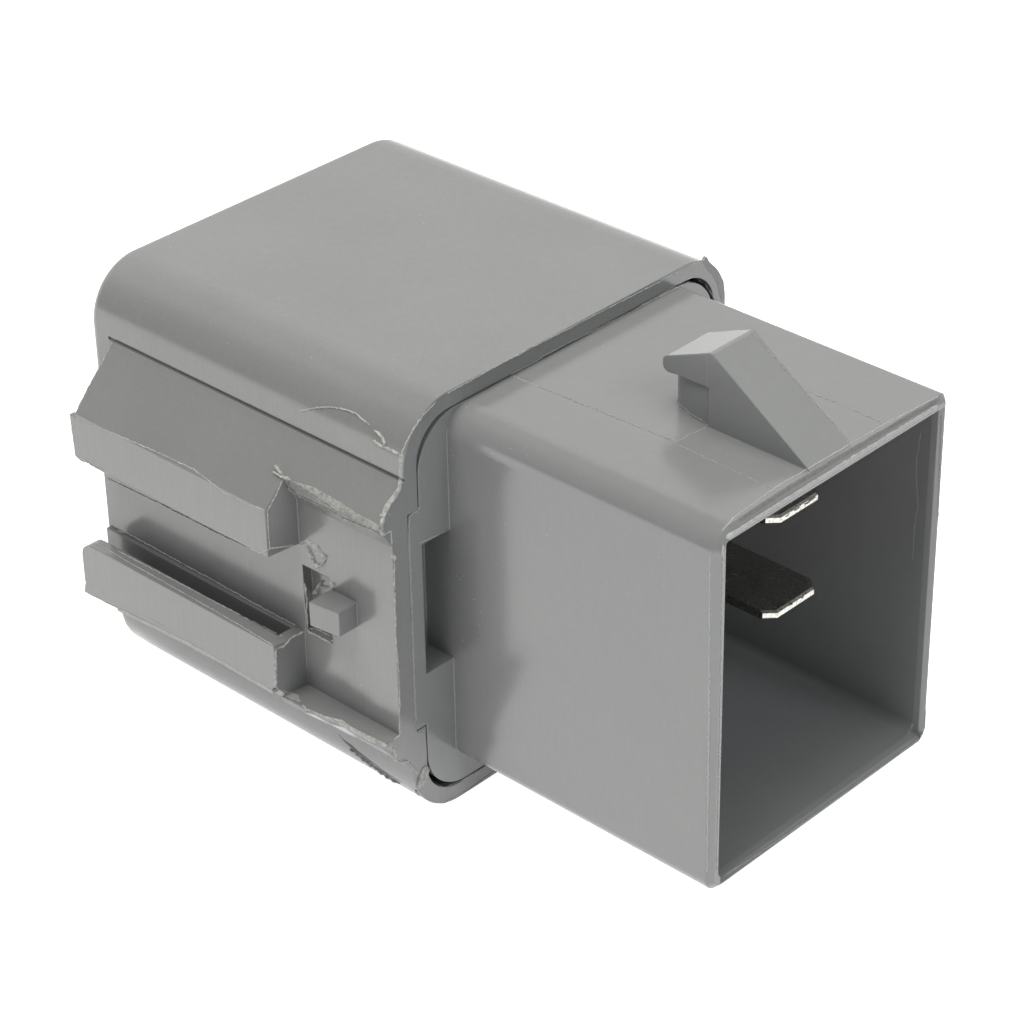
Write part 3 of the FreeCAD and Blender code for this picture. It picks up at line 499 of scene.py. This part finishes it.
def make_world():
    """A dim room with a tall white backdrop behind the object, white where the camera sees it."""
    world = bpy.data.worlds.new("studio")
    world.use_nodes = True
    bpy.context.scene.world = world
    tree = world.node_tree
    room = tree.nodes["Background"]
    room.inputs["Color"].default_value = ROOM_COLOUR
    room.inputs["Strength"].default_value = AMBIENT
    backdrop = shader_node(tree, "ShaderNodeBackground", {"Color": WHITE, "Strength": 1})
    seen, mirrored = background_rays(tree)
    towards = tree.nodes.new("ShaderNodeTexCoord").outputs["Generated"]
    parts = tree.nodes.new("ShaderNodeSeparateXYZ")
    tree.links.new(towards, parts.inputs["Vector"])
    away = shader_node(tree, "ShaderNodeVectorMath", {1: BACKDROP_DIRECTION}, operation="DOT_PRODUCT")
    tree.links.new(towards, away.inputs[0])
    below_top = spread(tree, parts.outputs["Z"], seen=BACKDROP_HEIGHT, given=(1, 0))
    on_its_side = spread(tree, away.outputs["Value"], seen=BACKDROP_SIDE, given=(0, 1))
    reflected = product_of(tree, product_of(tree, below_top, on_its_side), mirrored)
    choice = tree.nodes.new("ShaderNodeMixShader")
    tree.links.new(larger_of(tree, seen, reflected), choice.inputs["Fac"])
    tree.links.new(room.outputs["Background"], choice.inputs[1])
    tree.links.new(backdrop.outputs["Background"], choice.inputs[2])
    tree.links.new(choice.outputs["Shader"], tree.nodes["World Output"].inputs["Surface"])


def make_floor():
    """White paper, lifted to pure white where the camera or a reflection shows it."""
    half = FLOOR_HALF_SIDE
    mesh = bpy.data.meshes.new("floor")
    corners = [(-half, -half, 0), (half, -half, 0), (half, half, 0), (-half, half, 0)]
    mesh.from_pydata(corners, [], [(0, 1, 2, 3)])
    floor = bpy.data.objects.new("floor", mesh)
    bpy.context.scene.collection.objects.link(floor)
    material = bpy.data.materials.new("white paper")
    material.use_nodes = True
    tree = material.node_tree
    paper = tree.nodes["Principled BSDF"]
    paper.inputs["Base Color"].default_value = PAPER_COLOUR
    paper.inputs["Roughness"].default_value = PAPER_ROUGHNESS
    paper.inputs["Specular IOR Level"].default_value = 0.0
    paper.inputs["Emission Color"].default_value = WHITE
    seen, mirrored = background_rays(tree)
    lift = spread(tree, larger_of(tree, seen, mirrored), seen=(0, 1), given=(0, FLOOR_LIFT))
    tree.links.new(lift, paper.inputs["Emission Strength"])
    mesh.materials.append(material)


# Torn edges, flash and parting lines, and painted highlights and shade, laid on the solids where the
# photograph shows them.
# Each path is read from the photograph, in pixels, and cast on the solids from its camera.
# A line has its width and height in mm before its path.
WEDGE_TEAR_TOP = [
    (290.7, 480), (313.6, 486.3), (325.1, 492.6), (341.2, 501.2), (357.2, 512.7), (369.9, 519.5),
    (381, 526),
]
WEDGE_TEAR_FOOT = [
    (287.2, 487.4), (298.7, 495.4), (315.9, 503.5), (338.9, 514.3), (343.5, 517.6), (367.6, 528),
    (383, 535),
]
LEDGE_TEAR_TOP = [
    (311.5, 709.8), (326.2, 716.5), (342.3, 719.4), (350.4, 725.9), (363.7, 732.6), (383.8, 742),
    (393.2, 747.3),
]
LEDGE_TEAR_FOOT = [
    (312, 711.5), (323.6, 717.9), (337, 724.6), (350.4, 731.2), (370.4, 742), (390.5, 751.3),
    (393.6, 752.5),
]
RIM_TEAR_OUTER = [
    (398.6, 454), (398.4, 476), (397.4, 487), (391, 496), (384, 505), (380.3, 516), (379.4, 526),
    (380.5, 533),
]
RIM_TEAR_INNER = [
    (403.4, 454), (402.8, 476), (401.8, 489), (396.5, 499), (390, 508), (385.6, 518), (383.4, 527),
    (385, 534),
]
FACET_TOP = [(273.5, 687), (298.5, 693.5)]
FACET_FOOT = [(272.7, 693.4), (302.5, 703.8)]
LINES_ON_COVER = {
    "wedge_tear_foot": (0.16, 0.1, [
        (287.2, 488), (298.7, 495.6), (315.9, 503.8), (338.9, 514.5), (343.5, 518), (355, 522.5),
        (367.6, 528), (379, 533.6), (383.6, 535),
    ]),
    "rim_outer_line": (0.13, 0.05, [
        (447, 393.5), (457, 388), (507, 360.5), (560, 333), (620, 302), (680, 271), (703, 259.5),
    ]),
    "rim_inner_flash": (0.14, 0.08, [
        (640, 306.5), (668, 292), (690, 281.5), (697, 279), (706, 284.5), (712, 293.5),
        (715.5, 302),
    ]),
    "rim_foot_outer": (0.13, 0.05, [
        (424, 799), (431, 804.5), (440, 805), (467, 790.8), (494, 770.8),
    ]),
    "rim_foot_inner": (0.12, 0.05, [
        (429, 776.5), (436, 783.5), (444.5, 787.6), (464, 779), (484, 766.8),
    ]),
    "hook_end_edge": (0.13, 0.07, [
        (283.8, 478.2), (280.3, 485.1), (275.7, 495.4), (270.5, 505), (267.3, 510.6), (268.2, 530),
        (270, 549.5),
    ]),
    "hook_tear_spike": (0.3, 0.3, [(273.4, 471.3), (278, 474.5), (282.6, 477), (290.7, 479.8)]),
    "hook_tear_curl": (0.24, 0.34, [(276.2, 465.2), (277.6, 469), (281, 472.6), (282.6, 477)]),
    "hook_foot_line": (0.14, 0.07, [
        (77, 462.5), (105, 477), (160, 503.5), (215, 531.5), (261, 553.2), (270, 548.5),
        (302.1, 544.2), (307.9, 539.5),
    ]),
    "pad_edge_upper": (0.13, 0.08, [
        (384.6, 534.5), (390.5, 531), (391.6, 543), (392.4, 555), (394, 558.5), (394.4, 575),
        (394.6, 590),
    ]),
    "pad_edge_lower": (0.12, 0.07, [
        (394.8, 592), (395.4, 615), (395.9, 640.2), (397.6, 660), (399.0, 681), (399.7, 704.5),
        (399.2, 727), (399.7, 735), (393.4, 740.6),
    ]),
    "pad_edge_knob": (0.36, 0.24, [(391.9, 554.6), (393.8, 557), (395.2, 559.4)]),
    "rim_tear_knob": (0.3, 0.22, [(380, 514.6), (382.6, 516.8), (384.5, 515.6)]),
    "rim_tear_speck": (0.2, 0.12, [(389, 513.7), (390.8, 515)]),
    "wedge_foot_knot": (0.4, 0.22, [(379.4, 529.6), (381.5, 533), (384.8, 534.8)]),
    "corner_flash_long": (0.16, 0.12, [
        (300, 411), (315, 408), (330, 407), (343, 409), (355, 413), (370, 425),
    ]),
    "corner_flash_fork": (0.24, 0.2, [
        (374.5, 430), (379.6, 434.6), (382.4, 438), (384.8, 443), (384.4, 447),
    ]),
    "corner_flash_end": (0.26, 0.18, [
        (373.3, 440.3), (382.5, 446.6), (390.5, 449.5), (398.6, 454.1),
    ]),
    "rim_corner_line": (0.14, 0.07, [
        (436, 402), (424, 414), (414.5, 427.5), (408, 439), (402.2, 451), (400.9, 459),
    ]),
    "window_flash_loop": (0.22, 0.26, [
        (306.7, 546), (309.6, 551.7), (312.5, 557.4), (314.8, 563.2), (319.4, 566.6), (324, 563.2),
        (326.3, 557.4), (322, 553.6), (317.1, 551),
    ]),
    "window_flash_blot": (0.7, 0.12, [(306.5, 542), (311, 543.5), (316, 547), (321, 552)]),
    "window_curl_a": (0.26, 0.34, [
        (323.4, 580.4), (319.4, 585), (316.4, 590), (315.9, 593), (313.6, 590.7),
    ]),
    "window_curl_b": (0.2, 0.3, [(320.5, 585.6), (327.4, 587.3), (334.3, 585), (329.7, 581.5)]),
    "window_side_line": (0.16, 0.14, [
        (304.6, 583), (305, 590), (306.6, 600), (306.2, 610.7), (307.5, 628),
    ]),
    "slit_upper_line": (0.12, 0.07, [(308.2, 628.1), (315.5, 628.8), (330.9, 636.2), (341, 636.8)]),
    "slit_lower_line": (0.13, 0.09, [
        (304.8, 628.1), (310.2, 632.4), (329.6, 642.2), (335.6, 638.8),
    ]),
    "lip_end_edge": (0.18, 0.1, [
        (303.5, 631.5), (296, 635.6), (290.1, 638.8), (283.4, 646.2), (277.4, 648.4),
    ]),
    "lip_end_side": (0.24, 0.08, [(275.6, 648), (275.9, 660), (275.8, 675), (275.6, 686)]),
    "lip_top_outer": (0.12, 0.05, [
        (96, 543.2), (140, 568.5), (190, 596.5), (240, 625.5), (274, 646),
    ]),
    "lip_top_inner": (0.12, 0.05, [
        (118, 551), (160, 573), (210, 599.5), (255, 622.5), (283, 636.5),
    ]),
    "slot_floor_line": (0.14, 0.07, [
        (117, 530.5), (128, 533.5), (170, 556.5), (220, 584), (262, 607.5), (296, 625.5),
    ]),
    "ledge_step_line": (0.16, 0.12, [(302.1, 704.8), (306.2, 709.4), (311.5, 710.5)]),
    "ledge_end_tear": (0.24, 0.2, [
        (393.2, 748.7), (394.5, 755.3), (395.9, 760), (403.9, 762.4), (406.6, 761.4),
        (410.6, 765.4), (414.6, 768.9), (417.3, 773.4),
    ]),
    "crack_lower_lip": (0.26, 0.2, [
        (350.4, 748.6), (354.4, 751.8), (371.8, 764.9), (381.2, 771.6), (390.5, 778),
        (399.9, 783.4),
    ]),
    "corner_tatter": (0.24, 0.16, [
        (415, 789.5), (418.5, 794), (421.5, 798), (425, 801.5), (430.7, 803.8),
    ]),
    "wedge_end_edge": (0.12, 0.06, [
        (112, 342.5), (98.9, 369), (88.7, 385), (82.6, 398.6), (76.4, 406),
    ]),
    "wedge_outer_edge": (0.12, 0.05, [
        (74, 417.5), (110, 432), (150, 449), (193, 469), (231, 497.5), (266, 511),
    ]),
}
LINES_ON_HEADER = {
    "parting_near": (0.19, 0.05, [
        (511, 375.5), (560, 395), (620, 419.2), (676.7, 442), (707, 426.5),
    ]),
    "parting_middle": (0.1, 0.02, [(677, 444), (726, 467), (776, 490)]),
    "parting_far": (0.18, 0.04, [(808.5, 391.3), (845, 406.5), (884, 423.2)]),
    "ramp_far_edge": (0.15, 0.05, [(750.5, 331), (785, 369), (820, 408), (851.5, 443)]),
    "mouth_foot_line": (0.2, 0.04, [
        (723, 876.5), (760, 852), (800, 825), (860, 782), (920, 738.5),
    ]),
    "mouth_far_line": (0.14, 0.04, [(941.5, 415), (936.5, 560), (929, 730)]),
    "mouth_far_scratch": (0.08, 0.02, [
        (921, 432), (917, 455), (916, 480), (918, 505), (914, 530), (913, 560),
    ]),
    "ramp_foot": (0.14, 0.05, [(677, 398.4), (680, 404), (690, 413.6), (706, 422.5)]),
    "ramp_corner": (0.1, 0.04, [(706.8, 355), (707.2, 390), (707.6, 424)]),
    "upper_block_edge": (0.12, 0.05, [(419, 543.4), (435, 536.2), (450.3, 529)]),
}
LINES_ON_RIM_PLANE = {
    "rim_top_flash": (0.12, 0.05, [
        (511, 374.4), (533, 363), (544, 355.8), (555, 350), (562.6, 345.8), (600, 327.8),
        (633, 311), (652, 300.5), (675.6, 285.5),
    ]),
    "key_outline": (0.2, 0.06, [
        (419.2, 506.3), (416.9, 511.5), (412.3, 513.2), (409.6, 517.2), (409, 527.6),
        (409.5, 556.3), (410.6, 579.2), (412, 613.4), (414, 680.4), (415.3, 713.8), (416, 732.4),
        (420, 733.2), (425.4, 729.2),
    ]),
}
# Light strips along the mouth's lip edges: painted highlights.
LIP_HIGHLIGHT_LINES = {
    "mouth_top_outer": (0.13, 0.04, [
        (721.5, 531), (735, 516.5), (777, 486.6), (885, 424), (939, 395.8),
    ]),
    "mouth_top_inner": (0.46, 0.05, [
        (726.5, 538.5), (777, 506), (830, 473), (885, 438.8), (938, 406.3),
    ]),
    "mouth_near_inner": (0.18, 0.08, [(723.2, 545), (721.6, 640), (719.8, 740), (716.8, 872)]),
    "mouth_near_outer": (0.13, 0.04, [(709.8, 556), (709.2, 650), (708.6, 749), (706.8, 872)]),
}
# A dark strip over the lip's chamfer: painted shade.
SHADED_LINES = {
    "mouth_top_shade": (0.4, 0.02, [
        (739, 520.5), (777, 496), (800, 481.3), (838, 458.5), (860, 445.5), (885, 430.5),
        (912, 414.5), (940, 399.5),
    ]),
}
CRACK = [
    (339, 733.9), (343, 740), (350.4, 745.3), (355.7, 750), (363.7, 756), (371.8, 762),
    (381.2, 769.4), (390.5, 775.4), (401.2, 782.1),
]
CRACK_WIDTH = [0.05, 0.14, 0.42, 0.38, 0.16, 0.13, 0.12, 0.1, 0.04]
RIM_FLAP = [
    (426, 764.7), (428.7, 768.7), (426.7, 775.4), (422.7, 784.8), (417.3, 788.8), (416, 787.5),
    (418.7, 778.1), (422.7, 768.7),
]
RIM_FAR_KNOBS = [
    (703, 262), (706.3, 256.8), (709, 261), (714.8, 266.8), (719, 273), (723.6, 281.2),
    (723.8, 303), (721.5, 301), (719, 288), (712.5, 275.5), (705, 267),
]
WEDGE_END_FIN = [
    (69.6, 414), (71.5, 430), (75, 455.5), (81, 461.5), (92, 463), (92, 426), (80, 419.5),
]
WEDGE_END_SEAT = (100, 445)
LIP_SKIRT = [
    (84.6, 592), (120, 610), (150, 625), (183, 641), (230, 667.5), (271.5, 691), (275, 684),
    (240, 664), (180, 631), (120, 598), (86, 578),
]
LIP_SKIRT_SEAT = (180, 615)
# A light strip along the lower rail's foot: a painted highlight.
LIP_FOOT_HIGHLIGHT = [
    (118, 608), (150, 623.5), (183, 639.5), (230, 666), (272, 690.5), (273, 694), (230, 669.8),
    (183, 643.2), (150, 627), (117, 610.5),
]
LOAD_TARNISH = [
    [(785, 516.5), (790, 513.3)], [(794, 510.8), (800, 507)], [(804, 504.4), (816, 496.8)],
]
COMMON_TARNISH = [
    [(779, 610.3), (783, 608.2)], [(788, 605.4), (793, 602.6)], [(801, 598.2), (804, 596.6)],
]
SPECKS_ON_HEADER = [(458, 480), (560, 440), (700, 560), (700, 800), (600, 815), (470, 750)]
SPECKS_IN_SHADE = [(446, 450), (512, 440), (508, 660), (462, 690)]
SPECKS_ON_COVER = [(150, 260), (380, 165), (640, 270), (420, 385), (250, 340)]


def pixel_ray(pixel):
    across = (pixel[0] - IMAGE_SIDE / 2) / FOCAL
    below = (pixel[1] - IMAGE_SIDE / 2) / FOCAL
    return (CAMERA_RIGHT * across + CAMERA_DOWN * below - CAMERA_BACK).normalized()


def surface_tree(*node_names):
    points, faces = [], []
    for node_name in node_names:
        node = NODES[node_name]
        first = len(points)
        points += [node.matrix_world @ vertex.co for vertex in node.data.vertices]
        faces += [[first + index for index in face.vertices] for face in node.data.polygons]
    return BVHTree.FromPolygons(points, faces)


def cast(tree, pixel):
    """Where a pixel of the photograph falls on the solids, or the nearest place to it."""
    ray = pixel_ray(pixel)
    place, normal = tree.ray_cast(CAMERA_PLACE, ray)[:2]
    if place is None:
        place, normal = tree.find_nearest(CAMERA_PLACE + ray * NEAREST_SIGHT)[:2]
        for _ in range(NEAREST_ROUNDS):
            along = (place - CAMERA_PLACE).dot(ray)
            place, normal = tree.find_nearest(CAMERA_PLACE + ray * along)[:2]
    if normal.dot(ray) > 0:
        normal = -normal
    return place, normal


def on_rim(pixel):
    """Where a pixel of the photograph falls on the plane of the cover's rim."""
    ray = pixel_ray(pixel)
    return CAMERA_PLACE + ray * ((RIM_X * MM - CAMERA_PLACE.x) / ray.x)


def resample(path, step, wander, chance):
    """Points along a pixel path at an even step, each moved a little to the side."""
    made = []
    for start, end in zip(path, path[1:]):
        start, end = Vector(start), Vector(end)
        parts = max(1, round((end - start).length / step))
        side = Vector((start.y - end.y, end.x - start.x)).normalized()
        for part in range(parts):
            made.append(start.lerp(end, part / parts) + side * chance.uniform(-wander, wander))
    made.append(Vector(path[-1]))
    return made


def resampled_ring(outline, step, wander, chance):
    """The same round a closed outline, without its first point at the end again."""
    return resample(outline + outline[:1], step, wander, chance)[:-1]


def point_on_path(path, share):
    """The point of a pixel path at a share of its length."""
    lengths = [(Vector(end) - Vector(start)).length for start, end in zip(path, path[1:])]
    left = share * sum(lengths)
    for start, end, length in zip(path, path[1:], lengths):
        if left <= length:
            return Vector(start).lerp(Vector(end), left / length)
        left -= length
    return Vector(path[-1])


def inside(outline, pixel):
    """Whether an outline holds a pixel, by the edges that a level line from it crosses."""
    x, y = pixel
    crossings = 0
    for (start_x, start_y), (end_x, end_y) in zip(outline, outline[1:] + outline[:1]):
        if (start_y > y) != (end_y > y):
            edge_x = start_x + (y - start_y) * (end_x - start_x) / (end_y - start_y)
            if x < edge_x:
                crossings += 1
    return crossings % 2 == 1


def finished_piece(name, points, faces, material):
    mesh = bpy.data.meshes.new(name)
    mesh.from_pydata([tuple(point) for point in points], [], faces)
    mesh.validate()
    shell = bmesh.new()
    shell.from_mesh(mesh)
    bmesh.ops.recalc_face_normals(shell, faces=shell.faces)
    shell.to_mesh(mesh)
    shell.free()
    mesh.materials.append(material)
    piece = bpy.data.objects.new(name, mesh)
    bpy.context.scene.collection.objects.link(piece)
    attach(piece, "housing")


def tracks_on_skin(tree, pixels):
    """Places and normals along a path, parted where it leaps, or on the rim's plane without a tree."""
    tracks = [[]]
    for pixel in pixels:
        place, normal = cast(tree, pixel) if tree else (on_rim(pixel), Vector((1, 0, 0)))
        if tracks[-1]:
            step = (place - tracks[-1][-1][0]).length
            if step > GAP_IN_PATH * MM:
                tracks.append([])
            elif step < CLOSEST_PLACES * MM:
                continue
        tracks[-1].append((place, normal))
    return tracks


def calmed(track):
    """The same places, each with the mean of its own and its neighbours' normals."""
    made = []
    for index, (place, _) in enumerate(track):
        near = track[max(0, index - 1) : index + 2]
        made.append((place, sum((normal for _, normal in near), Vector()).normalized()))
    return made


def add_ridge(points, faces, track, width, height, ragged, chance):
    """A low ragged ridge with a rounded crest along places that lie on the solids."""
    rings = []
    last = len(track) - 1
    for index, (place, normal) in enumerate(track):
        before = track[max(0, index - 1)][0]
        after = track[min(last, index + 1)][0]
        along = (after - before).normalized()
        side = normal.cross(along).normalized()
        taper = min(1.0, RIDGE_END + RIDGE_END_GROWTH * min(index, last - index))
        half = width * MM / 2 * taper * (1 + ragged * chance.uniform(*WIDTH_SPREAD))
        crest = height * MM * taper * (1 + ragged * chance.uniform(*HEIGHT_SPREAD))
        lean = ragged * chance.uniform(*LEAN_SPREAD) * half
        low = normal * (-SUNK * MM)
        ring = (
            side * -half + low,
            side * (-half * SHOULDER_OUT + lean) + normal * crest * SHOULDERS_UP[0],
            side * lean + normal * crest,
            side * (half * SHOULDER_OUT + lean) + normal * crest * SHOULDERS_UP[1],
            side * half + low,
        )
        rings.append([len(points) + corner for corner in range(len(ring))])
        points += [place + offset for offset in ring]
    for first, second in zip(rings, rings[1:]):
        for corner in range(len(first)):
            following = (corner + 1) % len(first)
            faces.append((first[corner], first[following], second[following], second[corner]))
    faces.append(tuple(reversed(rings[0])))
    faces.append(tuple(rings[-1]))


def ridge_piece(name, tree, width, height, path, material, ragged=1.0):
    """A ridge along a pixel path, on the solids of the tree or, without one, on the rim's plane."""
    chance = random.Random(name)
    points, faces = [], []
    for track in tracks_on_skin(tree, resample(path, PATH_STEP, PATH_WANDER, chance)):
        if len(track) > 1:
            add_ridge(points, faces, calmed(track), width, height, ragged, chance)
    finished_piece(name, points, faces, material)


def film_piece(name, top, foot, rise, columns, rows, material):
    """A torn band between two pixel paths: rough, lifted in the middle and sunk at its edges."""
    chance = random.Random(name)
    points, faces = [], []
    for column in range(columns + 1):
        upper = point_on_path(top, column / columns)
        lower = point_on_path(foot, column / columns)
        for row in range(rows + 1):
            pixel = upper.lerp(lower, row / rows)
            pixel.y += chance.uniform(-FILM_WANDER, FILM_WANDER)
            place, normal = cast(HOUSING_SKIN, pixel)
            rough = noise.noise(place / (FILM_GRAIN * MM)) * 0.5 + 0.5
            if row in (0, rows) or column in (0, columns):
                lift = -SUNK
            else:
                lift = rise * (FILM_LOWEST + rough * chance.uniform(*FILM_SPREAD))
            points.append(place + normal * (lift * MM))
    for column in range(columns):
        for row in range(rows):
            corner = column * (rows + 1) + row
            faces.append((corner, corner + 1, corner + rows + 2, corner + rows + 1))
    finished_piece(name, points, faces, material)


def plate_piece(name, outline, behind, before, material):
    """A thin ragged plate that stands on the plane of the cover's rim."""
    chance = random.Random(name)
    places = [on_rim(pixel) for pixel in resampled_ring(outline, PLATE_STEP, PLATE_WANDER, chance)]
    count = len(places)
    centre = sum(places, Vector()) / count
    along = Vector((MM, 0, 0))
    points = [place - along * behind for place in places]
    for place in places:
        points.append(place + along * before * chance.uniform(*PLATE_OUTER_SPREAD))
    for place in places:
        inner = centre.lerp(place, PLATE_INNER_RING)
        points.append(inner + along * before * chance.uniform(*PLATE_INNER_SPREAD))
    points += [centre - along * behind, centre + along * before]
    faces = []
    for index in range(count):
        following = (index + 1) % count
        for level in (0, count):
            low, low_following = level + index, level + following
            faces.append((low, low_following, low_following + count, low + count))
        faces.append((following, index, 3 * count))
        faces.append((2 * count + index, 2 * count + following, 3 * count + 1))
    finished_piece(name, points, faces, material)


def fin_piece(name, outline, seat, inset, thickness, material):
    """A flat fin of plastic that carries a side wall of the cover on past its edge."""
    chance = random.Random(name)
    wall = cast(HOUSING_SKIN, seat)[0].y + inset * MM
    places = []
    for pixel in resampled_ring(outline, FIN_STEP, FIN_WANDER, chance):
        ray = pixel_ray(pixel)
        places.append(CAMERA_PLACE + ray * ((wall - CAMERA_PLACE.y) / ray.y))
    count = len(places)
    inward = Vector((0, thickness * MM, 0))
    centre = sum(places, Vector()) / count
    points = places + [place + inward for place in places] + [centre, centre + inward]
    faces = []
    for index in range(count):
        following = (index + 1) % count
        faces.append((index, following, count + following, count + index))
        faces.append((following, index, 2 * count))
        faces.append((count + index, count + following, 2 * count + 1))
    finished_piece(name, points, faces, material)


def crack_piece(name, path, widths):
    """A crack: a narrow dark strip of painted shade laid on the skin, which thins out at its ends."""
    chance = random.Random(name)
    points, faces = [], []
    last = len(path) - 1
    for index, pixel in enumerate(path):
        place, normal = cast(HOUSING_SKIN, pixel)
        if index < last:
            along = cast(HOUSING_SKIN, path[index + 1])[0] - place
        else:
            along = place - cast(HOUSING_SKIN, path[index - 1])[0]
        side = normal.cross(along).normalized() * (widths[index] * MM / 2)
        high = normal * (CRACK_HEIGHT * MM)
        low = normal * (-SUNK * MM)
        wobble = side * chance.uniform(*CRACK_WOBBLE)
        points += [place - side + wobble + low, place - side + wobble + high]
        points += [place + side + wobble + high, place + side + wobble + low]
    for index in range(last):
        first, second = 4 * index, 4 * index + 4
        for corner in range(4):
            following = (corner + 1) % 4
            faces.append((first + corner, first + following, second + following, second + corner))
    faces.append((3, 2, 1, 0))
    faces.append(tuple(4 * last + corner for corner in range(4)))
    finished_piece(name, points, faces, CRACK_SHADOW)


def scatter_specks(name, region, count, smallest, largest):
    """Pale crumbs of dust, each a small eight-sided grain half sunk in the skin."""
    chance = random.Random(name)
    across, down = zip(*region)
    points, faces = [], []
    made = 0
    while made < count:
        pixel = (chance.uniform(min(across), max(across)), chance.uniform(min(down), max(down)))
        if not inside(region, pixel):
            continue
        made += 1
        place, normal = cast(HOUSING_SKIN, pixel)
        side = normal.orthogonal().normalized()
        other = normal.cross(side)
        size = chance.uniform(smallest, largest) * MM
        first = len(points)
        for step in range(4):
            angle = (step + chance.uniform(*SPECK_TURN)) * math.pi / 2
            reach = size * chance.uniform(*SPECK_REACH)
            points.append(place + (side * math.cos(angle) + other * math.sin(angle)) * reach)
        points += [place + normal * size * SPECK_TOP, place - normal * size]
        for step in range(4):
            following = (step + 1) % 4
            faces.append((first + step, first + following, first + 4))
            faces.append((first + following, first + step, first + 5))
    finished_piece(name, points, faces, TORN)


bpy.context.view_layer.update()
HOUSING_SKIN = surface_tree("cover_case", "base_header")
LINE_GROUPS = (
    (LINES_ON_COVER, HOUSING_SKIN, TORN, COVER_SLOT, 1.0),
    (LINES_ON_HEADER, HOUSING_SKIN, PALE_EDGE, HEADER_SLOT, 1.0),
    (LINES_ON_RIM_PLANE, None, PALE_EDGE, COVER_SLOT, 1.0),
    (LIP_HIGHLIGHT_LINES, HOUSING_SKIN, LIP_HIGHLIGHT, HEADER_SLOT, CALM),
    (SHADED_LINES, HOUSING_SKIN, SHADED_LIP, HEADER_SLOT, CALM),
)
for lines, skin, material, slot, ragged in LINE_GROUPS:
    for line_name, (width, height, path) in lines.items():
        ridge_piece(line_name, skin, width, height, path, material, ragged)

film_piece(
    "wedge_tear_band", WEDGE_TEAR_TOP, WEDGE_TEAR_FOOT, rise=0.05, columns=110, rows=8, material=SCUFFED
)
film_piece(
    "ledge_tear_band", LEDGE_TEAR_TOP, LEDGE_TEAR_FOOT, rise=0.08, columns=90, rows=5, material=TORN
)
film_piece(
    "rim_tear_band", RIM_TEAR_OUTER, RIM_TEAR_INNER, rise=0.07, columns=80, rows=5, material=TORN
)
for node_name, dashes in (("terminal_load", LOAD_TARNISH), ("terminal_common", COMMON_TARNISH)):
    blade_skin = surface_tree(node_name)
    for number, dash in enumerate(dashes):
        dash_name = f"{node_name}_tarnish_{number}"
        ridge_piece(dash_name, blade_skin, TARNISH_WIDTH, TARNISH_HEIGHT, dash, TARNISH)
crack_piece("cover_crack", CRACK, CRACK_WIDTH)
plate_piece("rim_flap", RIM_FLAP, behind=0.1, before=0.2, material=TORN)
plate_piece("rim_far_knobs", RIM_FAR_KNOBS, behind=0.3, before=0.015, material=PALE_EDGE)
fin_piece("wedge_end_fin", WEDGE_END_FIN, WEDGE_END_SEAT, inset=0.03, thickness=0.5, material=COVER)
fin_piece("lip_skirt", LIP_SKIRT, LIP_SKIRT_SEAT, inset=0.03, thickness=0.8, material=COVER)
# The light strip at the rail's foot is a painted highlight.
fin_piece(
    "lip_foot_flash", LIP_FOOT_HIGHLIGHT, LIP_SKIRT_SEAT, inset=0.0, thickness=0.7, material=LIP_HIGHLIGHT
)
film_piece(
    "lip_foot_facet", FACET_TOP, FACET_FOOT, rise=0.03, columns=14, rows=5, material=PALE_EDGE
)
scatter_specks(
    "header_dust", SPECKS_ON_HEADER, count=60, smallest=0.022, largest=0.045
)
scatter_specks("shade_dust", SPECKS_IN_SHADE, count=34, smallest=0.03, largest=0.06)
scatter_specks("cover_dust", SPECKS_ON_COVER, count=36, smallest=0.03, largest=0.06)

bpy.context.scene.view_settings.view_transform = "Standard"
make_camera()
make_world()
make_floor()
for lamp_name, lamp in LAMPS.items():
    soft_lamp(lamp_name, **lamp)
